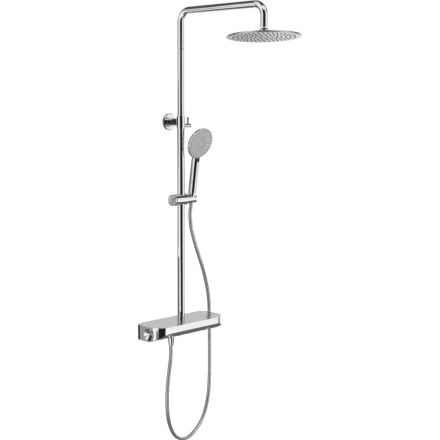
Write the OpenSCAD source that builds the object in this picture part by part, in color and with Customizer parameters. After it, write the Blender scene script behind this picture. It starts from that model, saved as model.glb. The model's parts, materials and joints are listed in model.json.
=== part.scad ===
// Rainfall shower column: shelf mixer, telescopic riser, wall bracket,
// swivelling arm with a ball-jointed rain head, sliding hand-shower holder and hose.
// Millimetres. X runs along the wall, the finished wall is the plane y = 0 and the
// object stands out towards -Y. The origin is midway between the two water inlets.

/* [Inlets] */
// Distance between the two water inlets
inlet_pitch = 150; // [146:1:156]
// Outside diameter of the union tail that screws into the wall fitting
tail_d = 20.8; // [18:0.1:24]
// How far the union tail reaches behind the finished wall
tail_l = 16; // [10:1:20]
// Waterway through the unions
water_d = 13; // [10:0.5:14]
// Diameter of the wall rosettes
rosette_d = 44; // [40:1:45]
// Thickness of the wall rosettes
rosette_t = 6; // [4:0.5:8]
// Outside diameter of the union thread on the mixer side
union_d = 26.4; // [26:0.1:28]
// Distance across the flats of the inlet nuts
nut_af = 32; // [31:0.5:34]
// Length of the inlet nuts
nut_l = 20; // [17:0.5:22]

/* [Shelf] */
// Length of the shelf along the wall
shelf_l = 348; // [344:1:400]
// Depth of the shelf out from the wall
shelf_d = 134; // [128:1:150]
// Height of the shelf top above the inlet axis
shelf_z = 27; // [27:0.5:32]
// Radius of the front corners seen from above
front_r = 54; // [30:1:56]
// Radius of the back corners seen from above
back_r = 30; // [10:1:32]
// Gap between the back of the shelf and the wall
wall_gap = 1; // [0.5:0.5:3]
// Thickness of the shelf plate
plate_t = 3; // [2:0.5:3]
// Height of the flat front below the shelf top
front_h = 23; // [20:0.5:26]
// Size of the chamfer under the front
chamfer = 12; // [8:0.5:14]
// Wall of the chrome casing
casing_t = 3; // [2.5:0.5:3.5]
// Width of the rim of the casing around the plate
rim_w = 1.2; // [0.8:0.1:1.6]
// Depth of the casing below the inlet axis
casing_low = 27; // [26.5:0.5:32]
// Flat underside left in front of the heads of the casing screws
belly_front = 1; // [0.5:0.5:8]
// Diameter of the rubber pads under the plate
pad_d = 10; // [6:0.5:14]
// Diameter of the screws that hold the casing
casing_screw_d = 4; // [3:0.5:5]

/* [Mixer] */
// Distance of the mixer axis from the wall
mixer_y = 76; // [70:1:84]
// Outside diameter of the mixer body
mixer_d = 42; // [40:0.5:44]
// Diameter of the cartridges
cartridge_d = 31; // [28:0.5:32]
// Length of the cartridges inside the body
cartridge_l = 46; // [36:1:54]
// Diameter of the cartridge stems
stem_d = 9; // [7:0.5:11]
// Diameter of the two knobs
knob_d = 46.4; // [44:0.2:46.4]
// Length of the rim of the knobs
knob_l = 22; // [18:0.5:25]
// How far the knobs stand out of the casing
knob_out = 3; // [2:0.5:8]
// Depth of the conical dish in the end of a knob
knob_dish = 8; // [6:0.5:9]
// Gap around a knob in the end of the casing
knob_gap = 0.7; // [0.4:0.1:0.7]
// Diameter of the safety button in the end of the temperature knob
button_d = 8; // [6:0.5:9]
// How far the safety button stands out beyond the rim of the knob
button_out = 3; // [2.5:0.1:3.5]
// Distance of the safety button from the axis of the knob
button_r = 15; // [13:0.5:16.5]

/* [Riser] */
// Distance of the riser axis from the wall
riser_y = 64; // [58:1:70]
// Outside diameter of the lower riser tube
lower_d = 27; // [26:0.1:28]
// Outside diameter of the upper riser tube
upper_d = 24.5; // [23.5:0.1:25]
// Wall of the upper tube and of the arm
tube_t = 1.2; // [0.8:0.1:1.5]
// Depth of the riser socket in the mixer body
socket_depth = 16; // [12:0.5:18]
// Length of the upper tube that stays inside the lower tube
overlap = 290; // [240:5:320]
// Height of the seam between the upper tube and the arm
seam_z = 1009; // [980:1:1030]

/* [Wall bracket] */
// Height of the bracket above the inlet axis
bracket_z = 750; // [700:1:780]
// Diameter of the wall flange
flange_d = 62; // [54:1:70]
// Thickness of the wall flange
flange_t = 8; // [5:0.5:12]
// Diameter of the bracket post
post_d = 27; // [24:0.5:28]
// Outside diameter of the clamp sleeve around the riser
sleeve_d = 31; // [30:0.2:33]
// Height of the clamp sleeve
sleeve_h = 45; // [40:1:52]
// Diameter of the anchor that the post slides over
anchor_d = 18; // [14:0.5:19]
// Length of the anchor out from the wall
anchor_l = 30; // [22:1:34]
// Thread diameter of the wall screw in the anchor
anchor_thread_d = 8; // [6:1:8]
// Distance of the lock lever below the bracket axis
lever_drop = 12.5; // [10:0.5:14]
// Diameter of the barrel of the lock lever
lever_d = 14; // [11:0.5:15]
// Length of the barrel of the lock lever
lever_l = 31; // [24:1:36]
// Diameter of the pin of the lock lever
lever_pin_d = 6; // [5:0.5:7]
// Length of the pin above the lever axis
lever_pin_l = 26; // [20:1:32]

/* [Arm] */
// Reach of the arm from the riser to the rain head
arm_reach = 392; // [330:1:420]
// Height of the arm axis above the inlet axis
arm_z = 1144; // [1110:1:1180]
// Bend radius of the arm
bend_r = 40; // [34:1:46]
// Height of the lower end of the drop pipe
drop_z = 1076; // [1074:0.5:1082]
// Outside diameter of the fitting on the end of the drop pipe
fitting_d = 25; // [25:0.1:27]

/* [Rain head] */
// Diameter of the rain head
head_d = 250; // [200:1:300]
// Thickness of the rain head at its rim
head_t = 6; // [5:0.5:9]
// Diameter of the field of nozzles
field_d = 206; // [170:1:236]
// Number of rings of nozzles
ring_count = 7; // [4:1:8]
// Diameter of a rain nozzle
nozzle_d = 4; // [3:0.2:5]
// Length of a rain nozzle below the spray plate
nozzle_l = 1.6; // [1:0.1:2.5]
// Height of the ball centre above the underside of the rain head
ball_up = 19; // [18:0.5:21]
// Diameter of the ball
ball_d = 20; // [18:0.5:21]
// Outside diameter of the ball nut
ball_nut_d = 31; // [30:0.5:35]
// Rest tilt of the rain head to the front, about the X axis
front_tilt = -3.5; // [-5:0.5:5]
// Rest tilt of the rain head to the side, about the Y axis
side_tilt = 2.5; // [-4:0.5:4]

/* [Slider] */
// Height of the slider at rest above the inlet axis
slider_z = 470; // [400:1:500]
// Diameter of the slider body
slider_d = 42; // [40:0.5:46]
// Length of the slider body to the left of the riser
slider_left = 36; // [32:0.5:40]
// Length of the slider body to the right of the riser
slider_right = 19; // [18:0.5:23]
// Wall of the plastic bush between slider and riser
bush_t = 1.8; // [1.2:0.1:2.4]
// Diameter of the tightening knob
grip_d = 39.6; // [36:0.2:42]
// Length of the tightening knob
grip_l = 13; // [10:0.5:18]
// Diameter of the spindle of the tightening knob
spindle_d = 10; // [8:0.5:12]

/* [Holder] */
// Diameter of the hand-shower holder
holder_d = 35; // [33:0.5:38]
// Length of the hand-shower holder along its pivot
holder_l = 48; // [45:0.5:54]
// Distance of the holder socket from the riser axis
cup_x = 50; // [49:0.5:52]
// How far the holder socket sits in front of the pivot
cup_forward = 4; // [2:0.5:5]
// Lean of the hand shower towards the user
lean = 8; // [0:1:14]
// Diameter of the pivot stud
stud_d = 12; // [10:0.5:13]
// Length of the pivot stud
stud_l = 13; // [10:0.5:14]

/* [Hand shower] */
// Diameter of the handle
handle_d = 30; // [27:0.5:32]
// Distance from the holder axis to the bottom of the handle
handle_s = 20; // [19.5:0.5:24]
// Distance from the holder axis to the middle of the spray face
face_s = 206.5; // [194:0.5:216]
// How far the spray face sits in front of the handle axis
face_forward = 19; // [16:0.5:24]
// Extra forward tilt of the spray face against the handle
face_tilt = 11.5; // [8:0.5:14]
// Diameter of the hand-shower head
hand_d = 116; // [100:1:124]
// Width of the rim around its spray face
hand_rim = 4; // [3.5:0.5:12]
// Depth of the hand-shower head
hand_depth = 19; // [16:0.5:22]
// Number of spokes of nozzles in the spray face
spoke_count = 24; // [16:1:28]
// Number of nozzles on a spoke
spoke_nozzles = 4; // [2:1:4]
// Radius of the smooth middle of the spray face
smooth_r = 21; // [19:0.5:24]
// Diameter of a hand-shower nozzle
hand_nozzle_d = 3; // [2:0.2:3.4]

/* [Hose] */
// Diameter of the hose
hose_d = 14; // [12:0.5:15]
// Distance of the hose outlet to the left of the riser
outlet_x = 60; // [57:1:63]
// Diameter of the hose outlet thread
outlet_d = 20.8; // [18:0.1:22]
// Large diameter of the conical hose nuts
cone_d = 25; // [24:0.2:26]
// Small diameter of the conical hose nuts
cone_small_d = 18.4; // [17:0.2:20]
// Length of the lower conical hose nut
cone_l = 30; // [26:0.5:36]

/* [Fits] */
// Radial clearance of running and sliding fits
run = 0.05; // [0.03:0.01:0.08]
// Clearance between pieces that only stand beside each other
gap = 0.4; // [0.3:0.05:0.6]
// Thickness of the O-rings
oring_t = 2; // [1.6:0.1:2.4]

/* [Hidden] */
$fn = 96;
eps = 0.01;
inlet_x = inlet_pitch / 2;
lower_bore = upper_d + 2 * run;
lower_foot = shelf_z - plate_t - 1 - socket_depth;
sleeve_low = bracket_z - sleeve_h / 2;
sleeve_top = bracket_z + sleeve_h / 2;
lower_top = sleeve_top - 12;
upper_low = lower_top - overlap;
riser_p = [0, -riser_y, 0];
head_p = [0, -riser_y - arm_reach, 0];
ball_z = drop_z - 24;
slider_p = [0, -riser_y, slider_z];
cup_p = [cup_x, -riser_y - cup_forward, slider_z];
end_x = shelf_l / 2;
belly_d = mixer_y + casing_screw_d + belly_front;
knob_room = 7;
nut_out = 5;
knob_tip = end_x + knob_out;
knob_root = knob_tip - knob_l;
stem_end = knob_tip - knob_dish - 5;
mixer_end = knob_root - knob_room - nut_out;
mixer_l = 2 * mixer_end;
casing_floor = -casing_low + casing_t;
plate_low = shelf_z - plate_t;
boss_top = plate_low - 2;
screw_in = 34;
pad_in = 16;
pad_step = 50;
screw_x = [-mixer_end + screw_in, -24, 24, mixer_end - screw_in];
pad_x = [for (s = [-1, 1], k = [0, 1]) s * (mixer_end - pad_in - k * pad_step)];
outlet_p = [-outlet_x, -mixer_y + 4, 0];
nipple_low = casing_floor - casing_t - 14;
cone_top = casing_floor - casing_t - 2;
nut_s = handle_s - 36;
lever_z = bracket_z - lever_drop;
lever_x = sleeve_d / 2 + 1;
seal_places = [3.5, 8];
union_end = 38;
seal_t = 2;
fitting_l = 9;
neck_d = 11;
nut_low = -9;
hub_d = 60;
hub_bore = 18;
spigot_l = 60;
spigot_d = union_d - 5;
hand_water_d = 14;
hand_face_d = hand_d - 2 * hand_rim;
neck_s = face_s - hand_d / 2 - 4;
neck_lean = 11;
pocket_depth = 9;
channel_d = 7;
neck_l = 52;
neck_top_d = 14;
crown_r = 30;
shoulder = 9;
shoulder_up = 4;
lip = 2;
lip_up = 9;
rim_edge = 3;
button_depth = 12;
button_room = 3.2;
taper = (cone_d - cone_small_d) / (handle_s - nut_s);

// Point on the axis of the handle, at a distance from the holder axis
function on_handle(s) = cup_p + s * [0, -sin(lean), cos(lean)];

// Route of the hose from the outlet, chosen by hand, and its straight end under the nut in the holder
hose_points = concat([
    [-60, -72, -59], [-60, -72, -80], [-62, -72, -110], [-68, -71, -150], [-74, -70, -195],
    [-76, -68, -240], [-74, -66, -290], [-64, -62, -340], [-44, -58, -385], [-14, -52, -418],
    [24, -46, -436], [64, -40, -438], [104, -34, -424], [140, -30, -396], [166, -27, -356],
    [183, -25, -306], [190, -24, -250], [192, -24, -190], [192, -24, -120], [191, -24, -50],
    [190, -24, 10], [186, -26, 60], [174, -31, 106], [156, -38, 150], [134, -46, 194],
    [110, -52, 238], [88, -56, 282], [70, -58, 324], [58, -58, 362], [52, -58, 396]],
    [for (s = [30, 10, 0]) on_handle(nut_s - run - s)]);

// ---------------------------------------------------------------- helpers

module along_x(x) { translate([x, 0, 0]) rotate([0, 90, 0]) children(); }

module along_y(y) { translate([0, y, 0]) rotate([90, 0, 0]) children(); }

// Tube or, with no bore, a rod along Z
module pipe(d, bore, h) {
    difference() {
        cylinder(d = d, h = h);
        if (bore > 0) translate([0, 0, -eps]) cylinder(d = bore, h = h + 2 * eps);
    }
}

// O-ring lying flat, from its inner diameter and its thickness
module oring(inner_d, t) {
    rotate_extrude() translate([inner_d / 2 + t / 2, 0]) circle(d = t, $fn = 24);
}

module hexagon(af, h) { cylinder(d = af / cos(30), h = h, $fn = 6); }

module both_inlets() { for (s = [-1, 1]) translate([s * inlet_x, 0, 0]) children(); }

// Frame of the hand shower: its Z runs up the leaning handle, its -Y is the front
module in_handset() { translate(cup_p) rotate([lean, 0, 0]) children(); }

// Frame of the spray face: the origin is the middle of the face, -Y the way the water goes
module in_face() {
    in_handset() translate([0, -face_forward, face_s]) rotate([face_tilt, 0, 0]) children();
}

// Frame of the rain head: the origin is the centre of the ball, tilted as the head rests
module in_head() { translate(head_p + [0, 0, ball_z]) rotate([front_tilt, side_tilt, 0]) children(); }

// ---------------------------------------------------------------- inlets

module inlet_unions() color("silver") both_inlets() difference() {
    union() {
        along_y(tail_l) cylinder(d = tail_d, h = tail_l + 8);
        along_y(-8) cylinder(d = tail_d + 5, h = 14);
        along_y(-20) cylinder(d = union_d, h = union_end - 20);
    }
    along_y(tail_l + 1) cylinder(d = water_d, h = tail_l + union_end + 2);
}

module wall_rosettes() color("gainsboro") both_inlets()
    along_y(0) pipe(rosette_d, tail_d + 2 * gap, rosette_t);

module inlet_nuts() color("silver") both_inlets() difference() {
    along_y(-union_end - 8 + nut_l) hexagon(nut_af, nut_l);
    along_y(-union_end - 5 + nut_l) cylinder(d = union_d + 2 * run, h = nut_l);
    along_y(-union_end) cylinder(d = spigot_d + 2 * gap, h = 20);
}

module inlet_seals() color("dimgray") both_inlets()
    along_y(-union_end) pipe(union_d - 1, water_d, seal_t);

module check_valves() color("ivory") both_inlets() along_y(-union_end - seal_t - 4) {
    pipe(water_d + 2, water_d - 5, 12);
    translate([0, 0, 2]) cylinder(d = water_d - 5, h = 2);
}

// ---------------------------------------------------------------- mixer

module mixer_body() color("lightgray") difference() {
    union() {
        translate([0, -mixer_y, 0]) along_x(-mixer_end) cylinder(d = mixer_d, h = mixer_l);
        both_inlets() along_y(-union_end - 5) cylinder(d = spigot_d, h = mixer_y - union_end - 5);
        both_inlets() along_y(-union_end - seal_t) cylinder(d = union_d - 1, h = 3);
        translate(riser_p) cylinder(d = lower_d + 8, h = boss_top);
        for (x = screw_x) translate([x, -mixer_y, casing_floor])
            cylinder(d = 2 * casing_screw_d, h = mixer_d / 2);
        for (x = pad_x) translate([x, -mixer_y, 0]) cylinder(d = pad_d + 2, h = boss_top);
        translate(outlet_p + [0, 0, casing_floor + 2])
            cylinder(d = outlet_d + 6, h = mixer_d / 2);
    }
    // waterways, riser socket, outlet thread and cartridge bores
    both_inlets() along_y(-union_end - seal_t + 1) cylinder(d = water_d - 2, h = mixer_y - union_end);
    both_inlets() along_y(-union_end - seal_t - 4 + eps) cylinder(d = water_d + 2 + 2 * run, h = 12.1);
    both_inlets() along_y(-union_end - seal_t + 1) cylinder(d = water_d + 2 + 2 * run, h = 6);
    translate(riser_p + [0, 0, lower_foot]) cylinder(d = lower_d + 2 * run, h = socket_depth + 8);
    translate(riser_p) cylinder(d = lower_d - 6, h = boss_top);
    for (z = seal_places) translate(riser_p + [0, 0, lower_foot + z]) oring(lower_d - 2 * run, oring_t);
    translate([0, -mixer_y, 0]) along_x(-mixer_end - 1) cylinder(d = 14, h = mixer_l + 2);
    for (s = [0, 1]) mirror([s, 0, 0]) translate([0, -mixer_y, 0])
        along_x(mixer_end - cartridge_l) cylinder(d = cartridge_d + 2 * run, h = cartridge_l + 1);
    for (s = [0, 1]) mirror([s, 0, 0]) translate([0, -mixer_y, 0])
        along_x(mixer_end - 10) difference() {
            cylinder(d = mixer_d + 10, h = 11);
            translate([0, 0, -1]) cylinder(d = mixer_d - 5, h = 13);
        }
    translate(outlet_p + [0, 0, nipple_low]) cylinder(d = outlet_d + 2 * run, h = -nipple_low - 12);
    translate(outlet_p + [0, 0, -14]) cylinder(d = 12, h = 14);
    for (x = screw_x) translate([x, -mixer_y, casing_floor - 1])
        cylinder(d = casing_screw_d + 2 * run, h = 9);
    translate(riser_p + [0, 0, lower_foot + socket_depth - 3])
        along_y(lower_d / 2 + 6) cylinder(d = 4 + 2 * run, h = 12);
}

// A cartridge whose stem points to +X, for the right-hand end
module cartridge() translate([0, -mixer_y, 0]) {
    along_x(mixer_end - cartridge_l) cylinder(d = cartridge_d, h = cartridge_l + 1);
    along_x(mixer_end) cylinder(d = mixer_d - 8, h = 2.5);
    along_x(mixer_end) cylinder(d = stem_d + 6, h = 9);
    along_x(mixer_end) cylinder(d = stem_d, h = stem_end - mixer_end);
}

module thermostat_cartridge() color("ivory") cartridge();

module diverter_cartridge() color("white") mirror([1, 0, 0]) cartridge();

module cartridge_nuts() color("darkgoldenrod")
    for (s = [0, 1]) mirror([s, 0, 0]) translate([0, -mixer_y, 0]) difference() {
        along_x(mixer_end - 9) cylinder(d = mixer_d - 1, h = 9 + nut_out);
        along_x(mixer_end - 10) cylinder(d = mixer_d - 5 + 2 * run, h = 10);
        along_x(mixer_end - 1) cylinder(d = mixer_d - 8 + 2 * run, h = 3.6);
        along_x(mixer_end) cylinder(d = stem_d + 6 + 2 * gap, h = 10);
    }

// Outline of the shelf seen from above, drawn in by the given amount
module shelf_plan(inset) {
    l = shelf_l - 2 * inset;
    fr = front_r - inset;
    br = back_r - inset;
    y0 = -shelf_d + inset;
    y1 = -wall_gap - inset;
    translate([-l / 2 + fr, y0]) square([l - 2 * fr, y1 - y0]);
    translate([-l / 2, y0 + fr]) square([l, y1 - y0 - fr - br]);
    translate([-l / 2 + br, y0 + fr]) square([l - 2 * br, y1 - y0 - fr]);
    for (s = [-1, 1]) {
        translate([s * (l / 2 - fr), y0 + fr]) circle(r = fr);
        translate([s * (l / 2 - br), y1 - br]) circle(r = br);
    }
}

// Side profile of the casing, drawn in by the given amount; open at the back when asked
module side_profile(inset, back) {
    front = -shelf_d + inset;
    low = -casing_low + inset;
    k = inset * tan(22.5);
    polygon([[back, shelf_z], [front, shelf_z], [front, shelf_z - front_h + k],
        [front + chamfer - k, shelf_z - front_h - chamfer + inset],
        [-belly_d, low], [back, low]]);
}

module casing_form(inset, back) intersection() {
    translate([0, 0, -casing_low]) linear_extrude(shelf_z + casing_low) shelf_plan(inset);
    translate([-end_x - 1, 0, 0]) rotate([90, 0, 90])
        linear_extrude(shelf_l + 2) side_profile(inset, back);
}

module casing() color("whitesmoke") difference() {
    casing_form(0, -wall_gap);
    // room inside, seat of the plate and open back
    casing_form(casing_t, 1);
    translate([-end_x + back_r, -wall_gap - back_r, casing_floor])
        cube([shelf_l - 2 * back_r, back_r + 2, plate_low - casing_floor]);
    translate([0, 0, plate_low]) linear_extrude(plate_t + 1) shelf_plan(rim_w);
    // knobs, hose outlet and casing screws
    translate([0, -mixer_y, 0]) along_x(-end_x - 1)
        cylinder(d = knob_d + 2 * knob_gap, h = shelf_l + 2);
    translate(outlet_p + [0, 0, -casing_low - 1]) cylinder(d = outlet_d + 8, h = 3 * casing_t);
    for (x = screw_x) translate([x, -mixer_y, -casing_low - 1])
        cylinder(d = casing_screw_d + 2 * gap, h = casing_t + 2);
}

module casing_screws() color("silver") for (x = screw_x) translate([x, -mixer_y, 0]) {
    translate([0, 0, -casing_low - 2]) difference() {
        cylinder(d = 2 * casing_screw_d, h = 2);
        translate([0, 0, -1]) hexagon(casing_screw_d * 0.6, 2.2);
    }
    translate([0, 0, -casing_low - eps]) cylinder(d = casing_screw_d, h = casing_t + 6);
}

module shelf_plate() color("silver") difference() {
    translate([0, 0, plate_low]) linear_extrude(plate_t) shelf_plan(rim_w + run);
    translate(riser_p + [0, 0, plate_low - 1]) cylinder(d = lower_d + 2 * gap, h = plate_t + 2);
}

module plate_pads() color("dimgray") for (x = pad_x)
    translate([x, -mixer_y, boss_top]) cylinder(d = pad_d, h = plate_low - boss_top);

// Hollow of a dish that starts at the given place and narrows towards the mixer
module dish(start, d) along_x(start - knob_dish) cylinder(d1 = 1.2, d2 = d, h = knob_dish + eps);

// Rim of a knob for the right-hand end, without its end cap
module knob_rim() translate([0, -mixer_y, 0]) difference() {
    along_x(knob_root) cylinder(d = knob_d, h = knob_l - 2);
    along_x(knob_root - 1) cylinder(d = knob_d - 10, h = 5);
    along_x(knob_root - 1) cylinder(d = stem_d + 2 * run, h = stem_end + 2 - knob_root);
    dish(knob_tip - 2, knob_d - 6 + 2 * run);
}

// Dished end cap for the right-hand end
module knob_cap() translate([0, -mixer_y, 0]) difference() {
    union() {
        along_x(knob_tip - 2) cylinder(d = knob_d, h = 1);
        along_x(knob_tip - 1) cylinder(d1 = knob_d, d2 = knob_d - 2, h = 1);
        dish(knob_tip - 2, knob_d - 6);
    }
    dish(knob_tip, knob_d - 2.6);
}

module flow_knob() color("whitesmoke") mirror([1, 0, 0]) knob_rim();

module flow_cap() color("white") mirror([1, 0, 0]) knob_cap();

// Hole for the safety button in the end of the temperature knob
module button_hole() translate([0, -mixer_y, button_r])
    along_x(knob_tip - button_depth) cylinder(d = button_d + 2 * run, h = button_depth + 1);

module temperature_knob() color("whitesmoke") difference() {
    knob_rim();
    button_hole();
}

module temperature_cap() color("white") difference() {
    knob_cap();
    button_hole();
}

module safety_button() color("gainsboro") translate([0, -mixer_y, button_r])
    along_x(knob_tip - button_depth + button_room)
        cylinder(d = button_d, h = button_depth - button_room + button_out);

// Flat spring under the button, drawn as it lies when pressed
module button_spring() color("silver") translate([0, -mixer_y, button_r])
    along_x(knob_tip - button_depth) pipe(button_d - 1, button_d - 4, 0.8);

// ---------------------------------------------------------------- hose outlet

module hose_nipple() color("silver") translate(outlet_p) difference() {
    union() {
        translate([0, 0, nipple_low]) cylinder(d = outlet_d, h = -nipple_low - 12.5);
        translate([0, 0, casing_floor - 1]) cylinder(d = outlet_d + 4, h = 3);
    }
    translate([0, 0, nipple_low - 1]) cylinder(d = 10, h = 40);
}

module outlet_seal() color("dimgray") translate(outlet_p + [0, 0, nipple_low - seal_t])
    pipe(outlet_d - 2, 10, seal_t);

// ---------------------------------------------------------------- riser

module lower_riser() color("gainsboro") difference() {
    translate(riser_p + [0, 0, lower_foot]) pipe(lower_d, lower_bore, lower_top - lower_foot);
    translate([0, -riser_y, lever_z]) along_x(0) cylinder(d = 8, h = lower_d);
}

module base_seals() color("dimgray") for (z = seal_places)
    translate(riser_p + [0, 0, lower_foot + z]) difference() {
        oring(lower_d - 2 * run, oring_t);
        translate([0, 0, -oring_t]) cylinder(d = lower_d + run, h = 2 * oring_t);
    }

module base_screw() color("dimgray") translate(riser_p + [0, 0, lower_foot + socket_depth - 3])
    along_y(lower_d / 2 + run + 3.8) cylinder(d = 4, h = 3.8);

module wall_flange() color("whitesmoke") translate([0, 0, bracket_z]) difference() {
    union() {
        along_y(0) cylinder(d = flange_d, h = flange_t - 2);
        along_y(-flange_t + 2) cylinder(d1 = flange_d, d2 = flange_d - 4, h = 2);
    }
    along_y(1) cylinder(d = post_d + 2 * gap, h = flange_t + 2);
}

module post_anchor() color("darkgray") translate([0, 0, bracket_z]) difference() {
    along_y(0) cylinder(d = anchor_d, h = anchor_l);
    along_y(1) cylinder(d = anchor_thread_d - 1.2, h = anchor_l - 5);
    translate([0, -anchor_l / 2 - 3, -anchor_d / 2]) cylinder(d = 4.5, h = 2, center = true);
}

module post_screw() color("dimgray") translate([0, -anchor_l / 2 - 3, bracket_z - post_d / 2 + 0.6])
    cylinder(d = 4, h = (post_d - anchor_d) / 2 - 0.2);

module riser_bracket() color("whitesmoke") difference() {
    union() {
        translate([0, 0, bracket_z]) along_y(-0.5) cylinder(d = post_d, h = riser_y - lower_d / 2 - 0.5);
        translate([0, -riser_y, sleeve_low]) cylinder(d = sleeve_d, h = sleeve_h);
    }
    translate([0, 0, bracket_z]) along_y(1) cylinder(d = anchor_d + 2 * run, h = anchor_l + 2);
    translate([0, -anchor_l / 2 - 3, bracket_z - post_d / 2 - 1]) cylinder(d = 4 + 2 * run, h = 9);
    translate([0, -riser_y, sleeve_low - 1]) cylinder(d = lower_d + 2 * run, h = sleeve_h - 3);
    translate([0, -riser_y, sleeve_top - 5]) cylinder(d = upper_d + 2 * gap, h = 6);
    translate([0, -riser_y, lever_z]) along_x(0) cylinder(d = 8, h = sleeve_d);
}

module bracket_bush() color("white") translate([0, -riser_y, lower_top])
    pipe(lower_d, upper_d + 2 * run, sleeve_top - 4 - lower_top);

module clamp_shoe() color("darkgoldenrod") translate([0, -riser_y, lever_z]) intersection() {
    along_x(upper_d / 2 - 1) cylinder(d = 7.8, h = 3);
    difference() {
        translate([0, 0, -5]) cylinder(d = upper_d + 2 * run + 2.2, h = 10);
        translate([0, 0, -6]) cylinder(d = upper_d + 2 * run, h = 12);
    }
}

module lock_lever() color("whitesmoke") translate([0, -riser_y, lever_z]) difference() {
    union() {
        along_x(lever_x) cylinder(d = lever_d, h = lever_l - 1);
        along_x(lever_x + lever_l - 1 - eps) cylinder(d1 = lever_d, d2 = lever_d - 2, h = 1);
        along_x(upper_d / 2 + 1.6) cylinder(d = 7.6, h = lever_x - upper_d / 2);
    }
    translate([lever_x + lever_l / 2 + 3, 0, 0]) cylinder(d = lever_pin_d - 2 + 2 * run, h = lever_d);
}

module lock_pin() color("silver") translate([lever_x + lever_l / 2 + 3, -riser_y, lever_z]) {
    cylinder(d = lever_pin_d - 2, h = lever_d / 2 + 1);
    translate([0, 0, lever_d / 2 + gap]) cylinder(d = lever_pin_d, h = lever_pin_l - lever_d / 2);
    translate([0, 0, lever_pin_l]) sphere(d = lever_pin_d + 2);
}

module upper_riser() color("gainsboro") difference() {
    translate([0, -riser_y, upper_low])
        pipe(upper_d, upper_d - 2 * tube_t, seam_z - upper_low);
    for (z = [8, 18]) translate([0, -riser_y, upper_low + z]) oring(upper_d - oring_t, oring_t);
}

module riser_seals() color("dimgray") for (z = [8, 18])
    translate([0, -riser_y, upper_low + z]) intersection() {
        oring(upper_d - oring_t, oring_t);
        translate([0, 0, -oring_t]) cylinder(d = upper_d, h = 2 * oring_t);
    }

module seam_ring() color("silver") translate([0, -riser_y, seam_z])
    pipe(upper_d, upper_d - 2 * tube_t, 1.5);

// ---------------------------------------------------------------- arm

// Solid of the arm's centreline: up from the seam, forward along the arm and down to the end
module arm_solid(d, low, drop_low) {
    reach_y = -riser_y - arm_reach;
    translate([0, -riser_y, low]) cylinder(d = d, h = arm_z - bend_r - low);
    translate([0, -riser_y - bend_r, arm_z - bend_r]) rotate([90, 0, 90])
        rotate_extrude(angle = 90) translate([bend_r, 0]) circle(d = d);
    translate([0, 0, arm_z]) along_y(-riser_y - bend_r) cylinder(d = d, h = arm_reach - 2 * bend_r);
    translate([0, reach_y + bend_r, arm_z - bend_r]) rotate([90, 0, 90])
        rotate_extrude(angle = 90, start = 90) translate([bend_r, 0]) circle(d = d);
    translate([0, reach_y, drop_low]) cylinder(d = d, h = arm_z - bend_r - drop_low);
}

module shower_arm() color("gainsboro") difference() {
    arm_solid(upper_d, seam_z + 1.5, drop_z);
    arm_solid(upper_d - 2 * tube_t, seam_z, drop_z - 1);
}

module arm_spigot() color("darkgoldenrod") translate([0, -riser_y, seam_z - spigot_l / 2]) difference() {
    pipe(upper_d - 2 * tube_t - 2 * run, water_d, spigot_l);
    for (z = [8, 16]) translate([0, 0, z]) oring(upper_d - 2 * tube_t - 2 * run - oring_t, oring_t);
}

module arm_seals() color("dimgray") for (z = [8, 16])
    translate([0, -riser_y, seam_z - spigot_l / 2 + z]) intersection() {
        oring(upper_d - 2 * tube_t - 2 * run - oring_t, oring_t);
        translate([0, 0, -oring_t]) cylinder(d = upper_d - 2 * tube_t - 2 * run, h = 2 * oring_t);
    }

module ball_stud() color("whitesmoke") translate(head_p) difference() {
    union() {
        translate([0, 0, drop_z]) cylinder(d = upper_d - 2 * tube_t - 2 * run, h = 16);
        translate([0, 0, drop_z - fitting_l]) cylinder(d = fitting_d, h = fitting_l);
        translate([0, 0, ball_z]) cylinder(d = neck_d, h = drop_z - ball_z);
        translate([0, 0, ball_z]) sphere(d = ball_d);
    }
    translate([0, 0, ball_z - ball_d]) cylinder(d = 7, h = 60);
}

// ---------------------------------------------------------------- rain head

// Plastic ring round the equator of the ball, round outside so that the nut turns about it
module ball_seat() color("white") in_head() difference() {
    intersection() {
        sphere(d = ball_nut_d - 4 - 3 * gap);
        cylinder(d = ball_nut_d, h = 5, center = true);
    }
    sphere(d = ball_d + 2 * run);
}

module ball_nut() color("whitesmoke") in_head() difference() {
    union() {
        translate([0, 0, nut_low]) cylinder(d = ball_nut_d, h = 6 - nut_low);
        translate([0, 0, 6]) cylinder(d1 = ball_nut_d, d2 = ball_nut_d - 8, h = 5);
    }
    translate([0, 0, nut_low - 1]) cylinder(d = ball_nut_d - 4, h = 6.6 - nut_low);
    sphere(d = ball_d + 2 * gap);
    translate([0, 0, 5]) cylinder(d1 = neck_d + 4, d2 = neck_d + 9.5, h = 6.1);
}

// Upper shell of the rain head with the hub that the ball nut screws on
module head_shell() color("whitesmoke") in_head() difference() {
    union() {
        translate([0, 0, -ball_up + 1.2]) cylinder(d = head_d, h = head_t - 2.2);
        translate([0, 0, -ball_up + head_t - 1 - eps])
            cylinder(d1 = head_d, d2 = head_d - 6, h = 1);
        translate([0, 0, -ball_up + head_t - eps])
            cylinder(d1 = hub_d, d2 = ball_nut_d + 4, h = nut_low - gap + ball_up - head_t);
        translate([0, 0, -ball_up + head_t])
            cylinder(d = ball_nut_d - 4 - 2 * run, h = ball_up - 6 - head_t);
    }
    translate([0, 0, -ball_up - 1]) cylinder(d = head_d - 5, h = head_t - 0.2);
    translate([0, 0, -ball_up]) cylinder(d = hub_bore, h = ball_up);
}

// Every nozzle place of a disc-shaped field
module nozzle_places(r_max, rings) {
    for (i = [1 : rings]) for (k = [0 : 6 * i - 1])
        rotate([0, 0, (k + (i % 2) / 2) * 60 / i]) translate([r_max * i / rings, 0, 0]) children();
}

module spray_plate() color("lightgray") in_head() difference() {
    translate([0, 0, -ball_up]) cylinder(d = head_d - 5 - 2 * run, h = 1.6);
    translate([0, 0, -ball_up]) nozzle_places(field_d / 2, ring_count)
        translate([0, 0, -1]) cylinder(d = nozzle_d, h = 4);
}

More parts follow.
